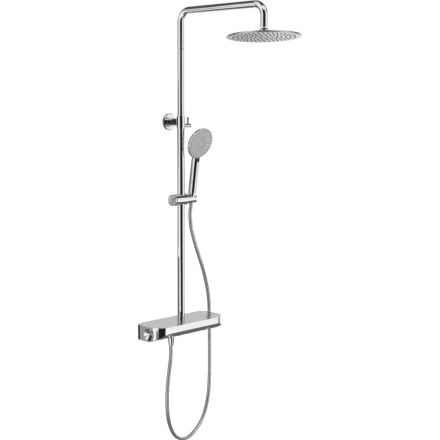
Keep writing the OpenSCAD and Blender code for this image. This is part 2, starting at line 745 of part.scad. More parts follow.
module head_gasket() color("dimgray") in_head() translate([0, 0, -ball_up + 1.6])
    pipe(head_d - 6, head_d - 14, head_t - 2.9);

module rain_nozzles() color("dimgray") in_head() translate([0, 0, -ball_up - nozzle_l])
    nozzle_places(field_d / 2, ring_count) cylinder(d = nozzle_d, h = nozzle_l + 1.6);

// ---------------------------------------------------------------- slider and holder

module slider_body() color("whitesmoke") translate(slider_p) difference() {
    union() {
        along_x(-slider_left) cylinder(d = slider_d, h = slider_left + slider_right);
        along_x(slider_right - eps) cylinder(d = stud_d, h = stud_l);
    }
    translate([0, 0, -slider_d]) cylinder(d = lower_d + 2 * run + 2 * bush_t, h = 2 * slider_d);
    along_x(-slider_left - 1) cylinder(d = spindle_d + 2 * run, h = slider_left);
}

module slider_bush() color("dimgray") translate(slider_p) intersection() {
    translate([0, 0, -slider_d / 2])
        pipe(lower_d + 2 * bush_t + 2 * run - eps, lower_d + 2 * run, slider_d);
    along_x(-slider_left) cylinder(d = slider_d - 1, h = slider_left + slider_right);
}

module slider_knob() color("whitesmoke") translate(slider_p) {
    along_x(-slider_left - gap - grip_l + 2) cylinder(d = grip_d, h = grip_l - 2);
    along_x(-slider_left - gap - grip_l) cylinder(d1 = grip_d - 4, d2 = grip_d, h = 2 + eps);
    along_x(-slider_left - gap - eps) cylinder(d = spindle_d, h = slider_left - lower_d / 2 - bush_t - 3);
}

module slider_shoe() color("darkgoldenrod") translate(slider_p) difference() {
    along_x(-lower_d / 2 - bush_t - 2.8) cylinder(d = spindle_d - 0.4, h = 4);
    translate([0, 0, -spindle_d]) cylinder(d = lower_d + 2 * run + 2 * bush_t, h = 2 * spindle_d);
}

module holder_washer() color("dimgray") translate(slider_p)
    along_x(slider_right) pipe(holder_d - 3, stud_d + 2 * run, 1);

module handset_holder() color("whitesmoke") difference() {
    translate(slider_p) union() {
        along_x(slider_right + 1) cylinder(d = holder_d, h = holder_l - 2);
        along_x(slider_right + holder_l - 1 - eps) cylinder(d1 = holder_d, d2 = holder_d - 4, h = 2);
    }
    translate(slider_p) along_x(slider_right) cylinder(d = stud_d + 2 * run, h = stud_l + gap);
    in_handset() translate([0, 0, nut_s - 9])
        cylinder(d1 = cone_small_d + 2 * run - 9 * taper, d2 = cone_d + 2 * run + 3 * taper,
            h = handle_s - nut_s + 12);
    in_handset() translate([0, -hose_d / 2 - 1, -holder_d]) cube([holder_l, hose_d + 2, 2 * holder_d]);
}

// ---------------------------------------------------------------- hand shower

// Frame of the neck, which leans forward from the top of the handle into the back of the head
module in_neck() in_handset() translate([0, 0, neck_s]) rotate([neck_lean, 0, 0]) children();

module handset_shell() color("whitesmoke") difference() {
    union() {
        in_handset() translate([0, 0, handle_s]) cylinder(d = handle_d, h = neck_s + 4 - handle_s);
        in_neck() cylinder(d1 = handle_d, d2 = neck_top_d, h = neck_l);
        in_face() rotate([90, 0, 0]) rotate_extrude() polygon([[0, -hand_depth], [crown_r, -hand_depth],
            [hand_d / 2 - shoulder, -hand_depth + shoulder_up], [hand_d / 2 - lip, -hand_depth + lip_up],
            [hand_d / 2, -rim_edge], [hand_d / 2 - 1, 0], [0, 0]]);
    }
    // slope from the handle down to the rim, and the pocket of the spray face
    in_face() rotate([90, 0, 0]) cylinder(r1 = hand_d / 2, r2 = hand_d / 2 + handle_d, h = handle_d);
    in_face() rotate([-90, 0, 0]) translate([0, 0, -1])
        cylinder(d = hand_face_d + 2 * run, h = pocket_depth + 1);
    // waterway up the handle and behind the pocket to its middle
    in_handset() translate([0, 0, handle_s - 1]) cylinder(d = hand_water_d, h = neck_s - handle_s);
    in_face() translate([0, pocket_depth + 1 + channel_d / 2, -hand_d / 2 - 12])
        cylinder(d = channel_d, h = hand_d / 2 + 12 + channel_d / 2);
    in_face() translate([0, pocket_depth - 1, 0]) rotate([-90, 0, 0])
        cylinder(d = channel_d, h = 2 + channel_d / 2);
}

module handset_insert() color("white") in_face() translate([0, 3.4, 0]) rotate([-90, 0, 0])
    pipe(hand_face_d - 2, 20, 5);

// Every nozzle place of the spray face, on spokes round its smooth middle
module spoke_places() {
    step = (hand_face_d / 2 - 7 - smooth_r) / (spoke_nozzles - 1);
    for (k = [0 : spoke_count - 1]) for (i = [0 : spoke_nozzles - 1])
        rotate([0, 0, 360 * k / spoke_count]) translate([smooth_r + i * step, 0, 0]) children();
}

module handset_face() color("silver") in_face() difference() {
    translate([0, 0.4, 0]) rotate([-90, 0, 0]) cylinder(d = hand_face_d, h = 3);
    translate([0, 0.4, 0]) rotate([-90, 0, 0]) spoke_places()
        translate([0, 0, -1]) cylinder(d = hand_nozzle_d, h = 6);
}

module handset_nozzles() color("dimgray") in_face() translate([0, -0.6, 0]) rotate([-90, 0, 0])
    spoke_places() cylinder(d = hand_nozzle_d, h = 4);

module hose_nut_top() color("whitesmoke") in_handset() difference() {
    union() {
        translate([0, 0, nut_s]) cylinder(d1 = cone_small_d, d2 = cone_d, h = handle_s - nut_s);
        translate([0, 0, handle_s - eps]) cylinder(d = hand_water_d - 2 * run, h = 10);
    }
    translate([0, 0, nut_s - 1]) cylinder(d = 8, h = 60);
}

module hose_nut_bottom() color("whitesmoke") translate(outlet_p + [0, 0, cone_top - cone_l]) difference() {
    cylinder(d1 = cone_small_d, d2 = cone_d, h = cone_l);
    translate([0, 0, cone_l + nipple_low - cone_top]) cylinder(d = outlet_d + 2 * run, h = cone_l);
    translate([0, 0, cone_l + nipple_low - cone_top - seal_t])
        cylinder(d = outlet_d - 2 + 2 * run, h = cone_l);
    translate([0, 0, -1]) cylinder(d = 8, h = cone_l);
}

// ---------------------------------------------------------------- hose

hose_sides = 10;
hose_step = 34;

function catmull(a, b, c, d, t) = 0.5 * ((2 * b) + (c - a) * t + (2 * a - 5 * b + 4 * c - d) * t * t
    + (3 * b - a - 3 * c + d) * t * t * t);
function at(p, i) = p[max(0, min(len(p) - 1, i))];

// Points of a smooth curve through the route, a few for each span according to its length
function smooth(p) = [
    for (i = [0 : len(p) - 2]) let (n = max(1, round(norm(p[i + 1] - p[i]) / hose_step)))
        for (k = [0 : n - 1]) catmull(at(p, i - 1), p[i], p[i + 1], at(p, i + 2), k / n),
    p[len(p) - 1]];

function unit(v) = v / norm(v);
function heading(p, i) = unit(at(p, i + 1) - at(p, i - 1));

// Side vectors carried along the curve without twist
function carry(p, i = 0, side = [0, 1, 0]) = i >= len(p) ? [] :
    let (t = heading(p, i), s = unit(side - (side * t) * t)) concat([s], carry(p, i + 1, s));

module hose() color("darkgray") {
    p = smooth(hose_points);
    sides = carry(p);
    n = len(p);
    verts = [for (i = [0 : n - 1]) let (u = sides[i], v = cross(heading(p, i), u))
        for (k = [0 : hose_sides - 1]) let (a = 360 * k / hose_sides)
            p[i] + hose_d / 2 * (cos(a) * u + sin(a) * v)];
    walls = [for (i = [0 : n - 2], k = [0 : hose_sides - 1])
        let (j = (k + 1) % hose_sides, a = i * hose_sides, b = a + hose_sides)
            [a + k, b + k, b + j, a + j]];
    polyhedron(verts, concat(walls, [[for (k = [0 : hose_sides - 1]) k]],
        [[for (k = [hose_sides - 1 : -1 : 0]) (n - 1) * hose_sides + k]]), convexity = 6);
}

// ---------------------------------------------------------------- drawing

inlet_unions();
wall_rosettes();
inlet_nuts();
inlet_seals();
check_valves();
mixer_body();
thermostat_cartridge();
diverter_cartridge();
cartridge_nuts();
casing();
casing_screws();
shelf_plate();
plate_pads();
flow_knob();
flow_cap();
temperature_knob();
temperature_cap();
safety_button();
button_spring();
hose_nipple();
outlet_seal();
lower_riser();
base_seals();
base_screw();
wall_flange();
post_anchor();
post_screw();
riser_bracket();
bracket_bush();
clamp_shoe();
lock_lever();
lock_pin();
upper_riser();
riser_seals();
seam_ring();
shower_arm();
arm_spigot();
arm_seals();
ball_stud();
ball_seat();
ball_nut();
head_shell();
spray_plate();
head_gasket();
rain_nozzles();
slider_body();
slider_bush();
slider_knob();
slider_shoe();
holder_washer();
handset_holder();
handset_shell();
handset_insert();
handset_face();
handset_nozzles();
hose_nut_top();
hose_nut_bottom();
hose();
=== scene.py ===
"""Looks of the rainfall shower column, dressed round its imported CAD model. Metres, as the frame is."""
import json
import math

import bmesh
import bpy
from mathutils import Matrix, Vector

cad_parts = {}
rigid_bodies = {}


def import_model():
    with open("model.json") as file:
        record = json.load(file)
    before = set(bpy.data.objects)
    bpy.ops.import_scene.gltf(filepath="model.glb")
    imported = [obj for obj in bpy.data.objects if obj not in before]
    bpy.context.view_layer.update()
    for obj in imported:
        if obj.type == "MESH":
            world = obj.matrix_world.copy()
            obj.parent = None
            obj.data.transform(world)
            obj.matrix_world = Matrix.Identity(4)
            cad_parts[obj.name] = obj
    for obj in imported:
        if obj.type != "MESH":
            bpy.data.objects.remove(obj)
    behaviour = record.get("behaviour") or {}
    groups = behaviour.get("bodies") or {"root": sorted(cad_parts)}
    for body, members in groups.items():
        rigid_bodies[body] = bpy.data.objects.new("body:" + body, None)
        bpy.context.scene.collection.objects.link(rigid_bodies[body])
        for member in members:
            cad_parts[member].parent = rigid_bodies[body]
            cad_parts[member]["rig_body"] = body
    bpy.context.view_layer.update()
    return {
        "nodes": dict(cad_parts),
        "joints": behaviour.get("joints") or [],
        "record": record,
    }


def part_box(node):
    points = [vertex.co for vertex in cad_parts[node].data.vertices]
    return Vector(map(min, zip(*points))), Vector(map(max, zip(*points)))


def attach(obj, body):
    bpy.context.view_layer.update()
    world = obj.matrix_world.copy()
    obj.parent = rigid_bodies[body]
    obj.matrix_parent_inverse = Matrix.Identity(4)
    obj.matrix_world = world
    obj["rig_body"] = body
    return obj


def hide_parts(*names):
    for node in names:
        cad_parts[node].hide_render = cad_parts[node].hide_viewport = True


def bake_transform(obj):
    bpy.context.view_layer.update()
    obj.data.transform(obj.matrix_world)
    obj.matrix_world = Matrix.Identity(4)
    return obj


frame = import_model()

# ---------- sizes

MM = 0.001                  # a bare number of millimetres times this is in metres

# Edges and roundness
EDGE = 0.6 * MM             # eased edge of a plated piece
FINE_EDGE = 0.3 * MM        # eased edge of a small piece
WIDE_EDGE = 0.9 * MM        # eased edge of the casing and of the wall flange
HAIR = 0.1 * MM             # hairline gap between two pieces
SHARP_ANGLE = 38            # degrees past which an edge stays crisp
SKIN_ANGLE = 32             # the same for a piece made from its CAD shape
TURN = 96                   # sides of a turned piece
PIN_TURN = 48               # sides of a thin turned piece
HAND_TURN = 128             # sides of the hand shower's head
HEAD_TURN = 160             # sides of the rain head

# Riser and arm
RUN = 0.05 * MM             # clearance between the two riser tubes
TUBE_WALL = 1.2 * MM        # wall of the upper tube
SEAM_EDGE = 0.4 * MM        # eased edge of the upper tube at its joint with the arm
SEAM_RECESS = 0.3 * MM      # how far the joint ring lies inside the tubes' surface
BEND_R = 40 * MM            # bend radius of the arm
BEND_STEPS = 24             # steps of one bend
ARM_SIDES = 64
LEAD = 1 * MM               # short straight lead into a bend and at the end of the drop pipe

# Wall bracket
ROSETTE_RIM = 0.45          # share of a rosette's thickness that is its straight rim
FLANGE_SLOPE = 2 * MM       # sloped edge of the wall flange
SLEEVE_STEP = 1.6 * MM      # how much wider the sleeve's radius is than the flange's bore
LEVER_SPIGOT_R = 3.8 * MM   # the lever's end in the sleeve
LEVER_SPIGOT_L = 3 * MM
LEVER_SLOPE = 1 * MM        # sloped edge of the lever's free end
PIN_STEP = 1 * MM           # how much wider the pin's ball is than the pin, and the pin than its foot
PIN_GAP = 0.4 * MM          # gap between the pin's rings and the lever
PIN_RINGS = 4               # grip rings of the pin
PIN_GROOVE = 0.8            # groove between two rings, as a share of the pin's radius

# Ball joint, measured from the middle of the ball
BALL_R = 10 * MM
NECK_R = 5.5 * MM
NECK_FOOT = 9 * MM          # where the neck leaves the ball
COLLAR_L = 9 * MM           # length of the collar under the drop pipe
SPIGOT_R = 10.9 * MM        # the stud's end in the drop pipe
SPIGOT_L = 16 * MM
BALL_NUT_R = 15.5 * MM
BALL_NUT_WALL = 2 * MM
NUT_LOW = -9 * MM
NUT_SHOULDER = 6 * MM
NUT_TOP = 11 * MM

# Rain head
HEAD_TILT = (-3.5, 2.5)     # rest tilt about X and Y, degrees
BALL_UP = 19 * MM           # ball centre above the underside
HEAD_R = 125 * MM
HEAD_T = 6 * MM
HEAD_SHEET = 1.2 * MM       # sheet of the upper shell
DISC_EDGE = 0.5 * MM        # eased edge of the shell and of the spray plate
RIM_DEPTH = 4.8 * MM        # how far the shell's rim reaches below its top
RIM_SLOPE = 4 * MM          # height of the slope on the rim
RIM_IN = 2.6 * MM           # how far that slope runs in
HUB_R = 30 * MM             # foot of the hub
HUB_TOP_R = 17.5 * MM
HUB_GAP = 0.4 * MM          # gap between the hub and the ball nut
HUB_THREAD_R = 13.3 * MM    # thread for the ball nut
HUB_THREAD_TOP = -6 * MM
HUB_BORE_R = 9 * MM
PLATE_R = 122.4 * MM        # spray plate
PLATE_T = 1.6 * MM
FIELD_R = 103 * MM          # outermost ring of nozzles
RAIN_RINGS = 7
RAIN_NOZZLE_R = 2 * MM
RAIN_NOZZLE_L = 1.7 * MM
NOZZLE_TAPER = 0.72         # tip of a nozzle, as a share of its foot

# Hand shower
LEAN = 8                    # lean of the handle, degrees
CUP_FORWARD = 4 * MM        # handle's axis in front of the holder's pivot
FACE_UP = 206.5 * MM        # middle of the spray face up the handle, from the pivot
FACE_FORWARD = 19 * MM      # and in front of the handle's axis
FACE_TILT = 11.5            # tilt of the spray face against the handle, degrees
HAND_R = 58 * MM
HAND_DEPTH = 19 * MM
CROWN_R = 30 * MM           # flat of the head's back
SHOULDER_IN = 9 * MM        # shoulder of the back, in from the rim
SHOULDER_UP = 4 * MM        # and up from the back
LIP_IN = 2 * MM             # end of the shoulder, in from the rim
LIP_UP = 9 * MM             # and up from the back
RIM_WIDTH = 3 * MM
RIM_EDGE = 1 * MM
BACK_EDGE = 4 * MM          # rounding of the back
POCKET = 6 * MM             # depth of the pocket behind the spray face
SLOPE_START = 5 * MM        # the slope under the rim starts this far in front of the pocket
SLOPE_L = 30 * MM
FACE_R = 54 * MM
FACE_T = 3 * MM
FACE_DOWN = 0.4 * MM        # how far the spray face lies inside the rim
DISC_UP = 0.5 * MM          # the face's smooth middle stands this high
FIELD_UP = 0.3 * MM         # and the field round it this high
FIELD_SLOPE = 0.7 * MM      # slope at the field's edge
GROOVE_DOWN = 0.2 * MM      # groove between the middle and the field
GROOVE_WALL = 0.5 * MM      # width of each of its walls
GROOVE_FLOOR = 0.7 * MM
SMOOTH_R = 21 * MM          # innermost ring of nozzles
FIELD_EDGE = 7 * MM         # free edge outside the nozzles
SPOKES = 24
SPOKE_NOZZLES = 4
SPOKE_L = FACE_R - FIELD_EDGE - SMOOTH_R
HAND_NOZZLE_R = 1.5 * MM
HAND_NOZZLE_L = 1.2 * MM
HAND_NOZZLE_DOWN = 0.5 * MM
RIB_WIDTH = 3.4 * MM
RIB_HEIGHT = 2.6 * MM
RIB_DOWN = 0.45 * MM

# Sections of the handle: height and place to the front, radius (mm) and lean (degrees)
HANDLE = [(20, 0, 14.4, 0), (20.8, 0, 15, 0), (60, 0, 15, 0), (100, 0, 15, 0), (138, 0, 15, 0),
          (146, 0.3, 14.9, 3), (153, 1.4, 14.0, 7), (161, 2.9, 12.7, 10), (170, 4.8, 11.1, 11),
          (180, 6.8, 9.6, 11), (190, 8.8, 8.0, 11), (195, 9.8, 7.1, 11)]

# Grip of the slider, knobs and safety button
GRIP_L = 13 * MM
GRIP_SLOPE = 2 * MM         # height of the slope on the grip's edge
GRIP_SLOPE_IN = 2.6 * MM    # how far that slope runs in
GRIP_RIM = 5 * MM           # width of the rim round the hollow end
GRIP_HOLLOW = 0.8 * MM      # depth of the hollow in its middle
GRIP_SAG = 0.3 * MM         # and at its edge
GRIP_EDGE = 0.8 * MM        # eased edge of the grip and of the button
SPINDLE_R = 5 * MM
KNOB_DISH = 8 * MM          # depth of the dish in the end of a knob
KNOB_RIM = 3.2 * MM         # rim round the dish's seat
KNOB_BORE_R = 6 * MM
CAP_T = 2 * MM              # thickness of a cap behind its dish
CAP_SEAT = 3 * MM           # width of a cap's seat on its knob
CAP_SLOPE = 1 * MM          # slope on a cap's outer edge
CAP_LIP = 0.5 * MM          # flat lip round the dish
DISH_FLAT_R = 0.4 * MM      # flat spot in the middle of the dish

# Hose and its two cone nuts
HOSE_R = 7 * MM
HOSE_SIDES = 28
HOSE_STEP = 5 * MM
TIP_R = 9.2 * MM            # small end of a nut
MOUTH_R = 12.5 * MM         # large end of a nut
TIP_BORE_R = 4.2 * MM
NIPPLE_STEP = 2 * MM        # how much wider the nipple's flange is than its thread
THREAD_GAP = 0.2 * MM
THREAD_L = 10 * MM          # depth of the thread in the outlet's nut
SEAL_L = 2 * MM             # and of the room for the seal beyond it
TOP_NUT_L = 36 * MM
TOP_NUT_DOWN = 16 * MM      # foot of the holder's nut below the pivot
TOP_SPIGOT_R = 6.9 * MM     # its end in the handle
TOP_SPIGOT_L = 8 * MM

# The hose's route from the outlet under the shelf to the nut in the holder
HOSE_ROUTE = [
    (-0.060, -0.072, -0.059), (-0.060, -0.072, -0.080), (-0.062, -0.072, -0.110), (-0.068, -0.071, -0.150),
    (-0.074, -0.070, -0.195), (-0.076, -0.068, -0.240), (-0.074, -0.066, -0.290), (-0.064, -0.062, -0.340),
    (-0.044, -0.058, -0.385), (-0.014, -0.052, -0.418), (0.024, -0.046, -0.436), (0.064, -0.040, -0.438),
    (0.104, -0.034, -0.424), (0.140, -0.030, -0.396), (0.166, -0.027, -0.356), (0.183, -0.025, -0.306),
    (0.190, -0.024, -0.250), (0.192, -0.024, -0.190), (0.192, -0.024, -0.120), (0.191, -0.024, -0.050),
    (0.190, -0.024, 0.010), (0.186, -0.026, 0.060), (0.174, -0.031, 0.106), (0.156, -0.038, 0.150),
    (0.134, -0.046, 0.194), (0.110, -0.052, 0.238), (0.088, -0.056, 0.282), (0.070, -0.058, 0.324),
    (0.058, -0.058, 0.362), (0.051, -0.0591, 0.408), (0.050, -0.0616, 0.4244), (0.050, -0.0644, 0.4443),
    (0.050, -0.0658, 0.4542)]

# Stretches of the hose: the first and the last point of each on that route
HOSE_STRETCHES = [("hose_loop", 0, 21), ("hose_rise", 21, 27), ("hose_end", 27, 29), ("hose_tip", 29, 32)]

# Light and background
CARD_DARK = 0.015           # brightness of the black card that gives the plating its dark bands
CARD_DISTANCE = 3.0         # from the column to a bent card, metres
NEAR_CARD = 0.95            # the same for the cards at the end of the shelf
CARD_FACES = 8              # faces along a bent card
CARD_MIDDLE_Y = -0.1        # the line that the bent cards stand round
CAMERA_SIDE = 225           # the camera's direction from the column, degrees from +X
CAMERA_ROOM = 65            # half the room left free on that side
FLOOR_MIDDLE_Y = -0.3       # middle of the flat card on the floor
FLOOR_Z = -1.0
FLOOR_LIFT = 0.42           # glow that makes the lit floor white and leaves the shadow on it


# ---------- places from the frame

def middle(node):
    """Middle of a node's box."""
    low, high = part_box(node)
    return (low + high) / 2


def span(node):
    """Size of a node's box."""
    low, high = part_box(node)
    return high - low


def standing(node):
    """Radius, foot and top of a round node that stands upright."""
    low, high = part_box(node)
    return (high.x - low.x) / 2, low.z, high.z


def crosswise(node):
    """Radius, left end and right end of a round node that lies along X."""
    low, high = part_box(node)
    return (high.z - low.z) / 2, low.x, high.x


def on_wall(node):
    """Radius and thickness of a round node that lies against the wall."""
    low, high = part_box(node)
    return (high.z - low.z) / 2, high.y - low.y


def pivot(joint):
    """The point that a joint turns about."""
    found = next(j for j in frame["joints"] if j["name"] == joint)
    return Vector(found["pos_m"])


def upright(node):
    """Place of a piece turned about a vertical line through the node, with heights as in the frame."""
    at = middle(node)
    return Matrix.Translation((at.x, at.y, 0))


def lying(node):
    """Place of a piece turned about a line along +X through the node."""
    at = middle(node)
    return Matrix.Translation((0, at.y, at.z)) @ Matrix.Rotation(math.radians(90), 4, "Y")


def facing_room(node, x=0.0):
    """Place of a piece turned about a line that leaves the node's back, towards -Y."""
    return (Matrix.Translation((x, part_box(node)[1].y, middle(node).z))
            @ Matrix.Rotation(math.radians(90), 4, "X"))


# ---------- meshes

def link(name, mesh):
    """A new object of the scene with this mesh."""
    piece = bpy.data.objects.new(name, mesh)
    bpy.context.scene.collection.objects.link(piece)
    return piece


def mesh_of(name, form):
    """A finished form as a mesh."""
    mesh = bpy.data.meshes.new(name)
    form.to_mesh(mesh)
    form.free()
    return mesh


def smooth(mesh, sharp_angle):
    """Smooth shading that keeps edges past this angle crisp."""
    mesh.shade_smooth()
    mesh.set_sharp_from_angle(angle=math.radians(sharp_angle))


def even_normals(piece):
    """Flat faces left flat beside smooth ones."""
    weighted = piece.modifiers.new("even_normals", "WEIGHTED_NORMAL")
    weighted.keep_sharp = True


def eased(profile, radius, closed=False, steps=3):
    """The profile's corners rounded with small arcs. A corner on the axis stays as it is."""
    points = [Vector(p) for p in profile]
    count = len(points)
    made = []
    for i, here in enumerate(points):
        at_end = not closed and i in (0, count - 1)
        before, after = points[i - 1] - here, points[(i + 1) % count] - here
        too_short = before.length < 1e-9 or after.length < 1e-9
        if at_end or too_short or before.angle(after) > math.radians(172):
            made.append(here)
            continue
        reach = radius / math.tan(before.angle(after) / 2)
        cut = min(reach, 0.45 * before.length, 0.45 * after.length)
        start, end = here + before.normalized() * cut, here + after.normalized() * cut
        for k in range(steps + 1):
            t = k / steps
            made.append(start * (1 - t) ** 2 + here * 2 * t * (1 - t) + end * t ** 2)
    return made


def turned(profile, place, sides=TURN, closed=False):
    """A form turned from (radius, height) points about the Z of place. A closed profile makes a ring."""
    form = bmesh.new()
    rings = []
    for r, h in (point[:2] for point in profile):
        if r < 1e-7:
            rings.append([form.verts.new(place @ Vector((0, 0, h)))])
        else:
            rings.append([form.verts.new(place @ Vector((r * math.cos(a), r * math.sin(a), h)))
                          for a in (math.tau * k / sides for k in range(sides))])
    for low, high in list(zip(rings, rings[1:])) + ([(rings[-1], rings[0])] if closed else []):
        for k in range(sides):
            n = (k + 1) % sides
            corners = [low[k % len(low)], low[n % len(low)], high[n % len(high)], high[k % len(high)]]
            corners = list(dict.fromkeys(corners))
            if len(corners) > 2:
                form.faces.new(corners)
    bmesh.ops.recalc_face_normals(form, faces=form.faces)
    return form


def piece_of(name, *forms, sharp_angle=SHARP_ANGLE):
    """One piece made of one or more finished forms."""
    whole = bmesh.new()
    for form in forms:
        part = mesh_of("part", form)
        whole.from_mesh(part)
        bpy.data.meshes.remove(part)
    piece = link(name, mesh_of(name, whole))
    smooth(piece.data, sharp_angle)
    even_normals(piece)
    return piece


def rod(r, start, end, ease=EDGE):
    """Profile of a plain rod with eased ends."""
    return eased([(0, start), (r, start), (r, end), (0, end)], ease)


def tube(r, bore, start, end, ease=EDGE):
    """Closed profile of a plain tube with eased ends."""
    return eased([(r, start), (r, end), (bore, end), (bore, start)], ease, closed=True)


def swept(centres, radius, sides):
    """A rod made of rings carried along a line of points without twist."""
    form = bmesh.new()
    verts = [[form.verts.new(p) for p in ring] for ring in rings_along(centres, radius, sides)]
    close_up(form, verts)
    return form


def close_up(form, rings):
    """Walls between rings of points, and a cap on the first and the last one."""
    for low, high in zip(rings, rings[1:]):
        for k in range(len(low)):
            n = (k + 1) % len(low)
            form.faces.new((low[k], low[n], high[n], high[k]))
    form.faces.new(list(reversed(rings[0])))
    form.faces.new(rings[-1])
    bmesh.ops.recalc_face_normals(form, faces=form.faces)


def rings_along(centres, radius, sides):
    """Rings of points square to a line, each turned as the one before it."""
    side = Vector((0, 1, 0))
    rings = []
    for i, centre in enumerate(centres):
        ahead = centres[min(i + 1, len(centres) - 1)] - centres[max(i - 1, 0)]
        ahead.normalize()
        side = (side - ahead * side.dot(ahead)).normalized()
        other = ahead.cross(side)
        rings.append([centre + radius * (math.cos(a) * side + math.sin(a) * other)
                      for a in (math.tau * k / sides for k in range(sides))])
    return rings


# ---------- camera

def make_camera():
    """A long lens from the left front, slightly above the middle of the column."""
    data = bpy.data.cameras.new("camera")
    data.sensor_width = 36
    data.lens = 82.15
    data.shift_x = 0.061
    data.shift_y = -0.0075
    camera = bpy.data.objects.new("camera", data)
    camera.location = (-2.537, -2.663, 0.8145)
    camera.rotation_euler = (math.radians(90 - 6.4), 0, math.radians(-45))
    bpy.context.scene.collection.objects.link(camera)
    bpy.context.scene.camera = camera


make_camera()


# ---------- hose

def spline_point(a, b, c, d, t):
    """Point at share t of the stretch from b to c, on a smooth curve through all four."""
    return 0.5 * (2 * b + (c - a) * t + (2 * a - 5 * b + 4 * c - d) * t * t
                  + (3 * b - a - 3 * c + d) * t * t * t)


def hose_line(first, last):
    """Points of the hose's centreline between two points of its route."""
    route = [Vector(p) for p in HOSE_ROUTE]
    line = []
    for i in range(first, last):
        a, b, c = route[max(i - 1, 0)], route[i], route[i + 1]
        d = route[min(i + 2, len(route) - 1)]
        count = max(1, round((c - b).length / HOSE_STEP))
        line += [spline_point(a, b, c, d, k / count) for k in range(count)]
    return line + [route[last]]


def make_hose_piece(name, first, last, start_run):
    """A stretch of the hose as a tube, with its length along the hose kept in its UV map."""
    line = hose_line(first, last)
    mesh = mesh_of(name, swept(line, HOSE_R, HOSE_SIDES))
    runs = [start_run]
    for a, b in zip(line, line[1:]):
        runs.append(runs[-1] + (b - a).length)
    uv = mesh.uv_layers.new(name="along_hose")
    for face in mesh.polygons:
        sides_here = [v % HOSE_SIDES for v in face.vertices]
        wraps = max(sides_here) - min(sides_here) > HOSE_SIDES / 2
        for corner, vertex in zip(face.loop_indices, face.vertices):
            ring, side = divmod(vertex, HOSE_SIDES)
            turn = side / HOSE_SIDES + (1 if wraps and side == 0 else 0)
            uv.data[corner].uv = (turn, runs[ring] / (math.tau * HOSE_R))
    smooth(mesh, 50)
    return link(name, mesh), line, runs[-1]


def make_outlet_nut():
    """The cone nut that holds the hose under the outlet."""
    mouth, foot, top = standing("hose_nut_bottom")
    thread = standing("hose_nipple")[0] - NIPPLE_STEP + THREAD_GAP
    profile = [(TIP_BORE_R, foot), (TIP_R, foot), (mouth, top), (thread, top), (thread, top - THREAD_L),
               (TIP_BORE_R, top - THREAD_L - SEAL_L)]
    form = turned(eased(profile, EDGE, closed=True), upright("hose_nut_bottom"), closed=True)
    nut = piece_of("outlet_hose_nut", form)
    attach(nut, "column")
    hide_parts("hose_nut_bottom")
    return nut


def make_hose():
    """The hose in four stretches, with the first one carried by the column."""
    run = 0.0
    made = {}
    for name, first, last in HOSE_STRETCHES:
        piece, line, run = make_hose_piece(name, first, last, run)
        made[name] = piece, line
    carried = {"hose_loop": [outlet_nut], "hose_rise": [], "hose_end": [made["hose_tip"][0]]}
    for name, others in carried.items():
        piece, line = made[name]
    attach(made["hose_loop"][0], "column")
    for name, lower_body, upper_body in (("hose_rise", "column", "slider"), ("hose_end", "slider", "holder"),
                                         ("hose_tip", "holder", "handset")):
        piece, line = made[name]
        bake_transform(piece)
    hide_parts("hose")
    return [piece for piece, line in made.values()]


outlet_nut = make_outlet_nut()
hose_pieces = make_hose()


# ---------- materials

def add_node(tree, kind, inputs, **settings):
    """A new node in a tree. Its inputs, by name or place, get a plain value or another node's result."""
    node = tree.nodes.new(kind)
    for name, value in settings.items():
        setattr(node, name, value)
    for name, value in inputs.items():
        if isinstance(value, bpy.types.NodeSocket):
            tree.links.new(value, node.inputs[name])
        else:
            node.inputs[name].default_value = value
    return node


def new_material(name):
    """A material and its node tree."""
    material = bpy.data.materials.new(name)
    material.use_nodes = True
    return material, material.node_tree


class Finish:
    """A material with its shader, and a few helpers for the nodes that feed it."""

    def __init__(self, name, colour, **sockets):
        self.material, self.tree = new_material(name)
        self.material.diffuse_color = (*colour, 1)
        self.shader = self.tree.nodes["Principled BSDF"]
        self.shader.inputs["Base Color"].default_value = (*colour, 1)
        for socket, value in sockets.items():
            self.shader.inputs[socket.replace("_", " ").title()].default_value = value
        self.coords = self.tree.nodes.new("ShaderNodeTexCoord")

    def feed(self, socket, name):
        """A node's result for one of the shader's sockets."""
        self.tree.links.new(socket, self.shader.inputs[name])

    def noise(self, scale, detail=3, stretch=(1, 1, 1)):
        """Soft noise fixed to the piece, stretched where one of the three numbers is below 1."""
        mapping = add_node(self.tree, "ShaderNodeMapping",
                           {"Vector": self.coords.outputs["Object"], "Scale": stretch})
        texture = add_node(self.tree, "ShaderNodeTexNoise",
                           {"Vector": mapping.outputs["Vector"], "Scale": scale, "Detail": detail})
        return texture.outputs["Fac"]

    def between(self, factor, low, high):
        """A number that runs from low to high with the factor."""
        ranged = add_node(self.tree, "ShaderNodeMapRange",
                          {"Value": factor, "From Min": 0.3, "From Max": 0.7, "To Min": low, "To Max": high})
        return ranged.outputs["Result"]

    def tones(self, factor, *stops):
        """A colour picked along two stops of (place, colour)."""
        ramp = add_node(self.tree, "ShaderNodeValToRGB", {"Fac": factor})
        for element, (place, colour) in zip(ramp.color_ramp.elements, stops):
            element.position = place
            element.color = (*colour, 1)
        return ramp.outputs["Color"]

    def bump(self, height, distance, strength):
        """A relief of this height, in metres."""
        node = add_node(self.tree, "ShaderNodeBump",
                        {"Height": height, "Distance": distance, "Strength": strength})
        self.feed(node.outputs["Normal"], "Normal")


def metal(name, tone, roughness, grain=300, detail=3, stretch=(1, 1, 1)):
    """A metal whose roughness wanders between two values."""
    finish = Finish(name, tone, metallic=1.0)
    finish.feed(finish.between(finish.noise(grain, detail, stretch), *roughness), "Roughness")
    return finish


def moulded(name, dark, light, roughness, grain, relief=None):
    """Plastic or rubber, mottled between two tones, with the height and strength of its grain."""
    finish = Finish(name, light, roughness=roughness)
    mottle = finish.noise(grain)
    finish.feed(finish.tones(mottle, (0.3, dark), (0.7, light)), "Base Color")
    if relief:
        finish.bump(mottle, *relief)
    return finish.material


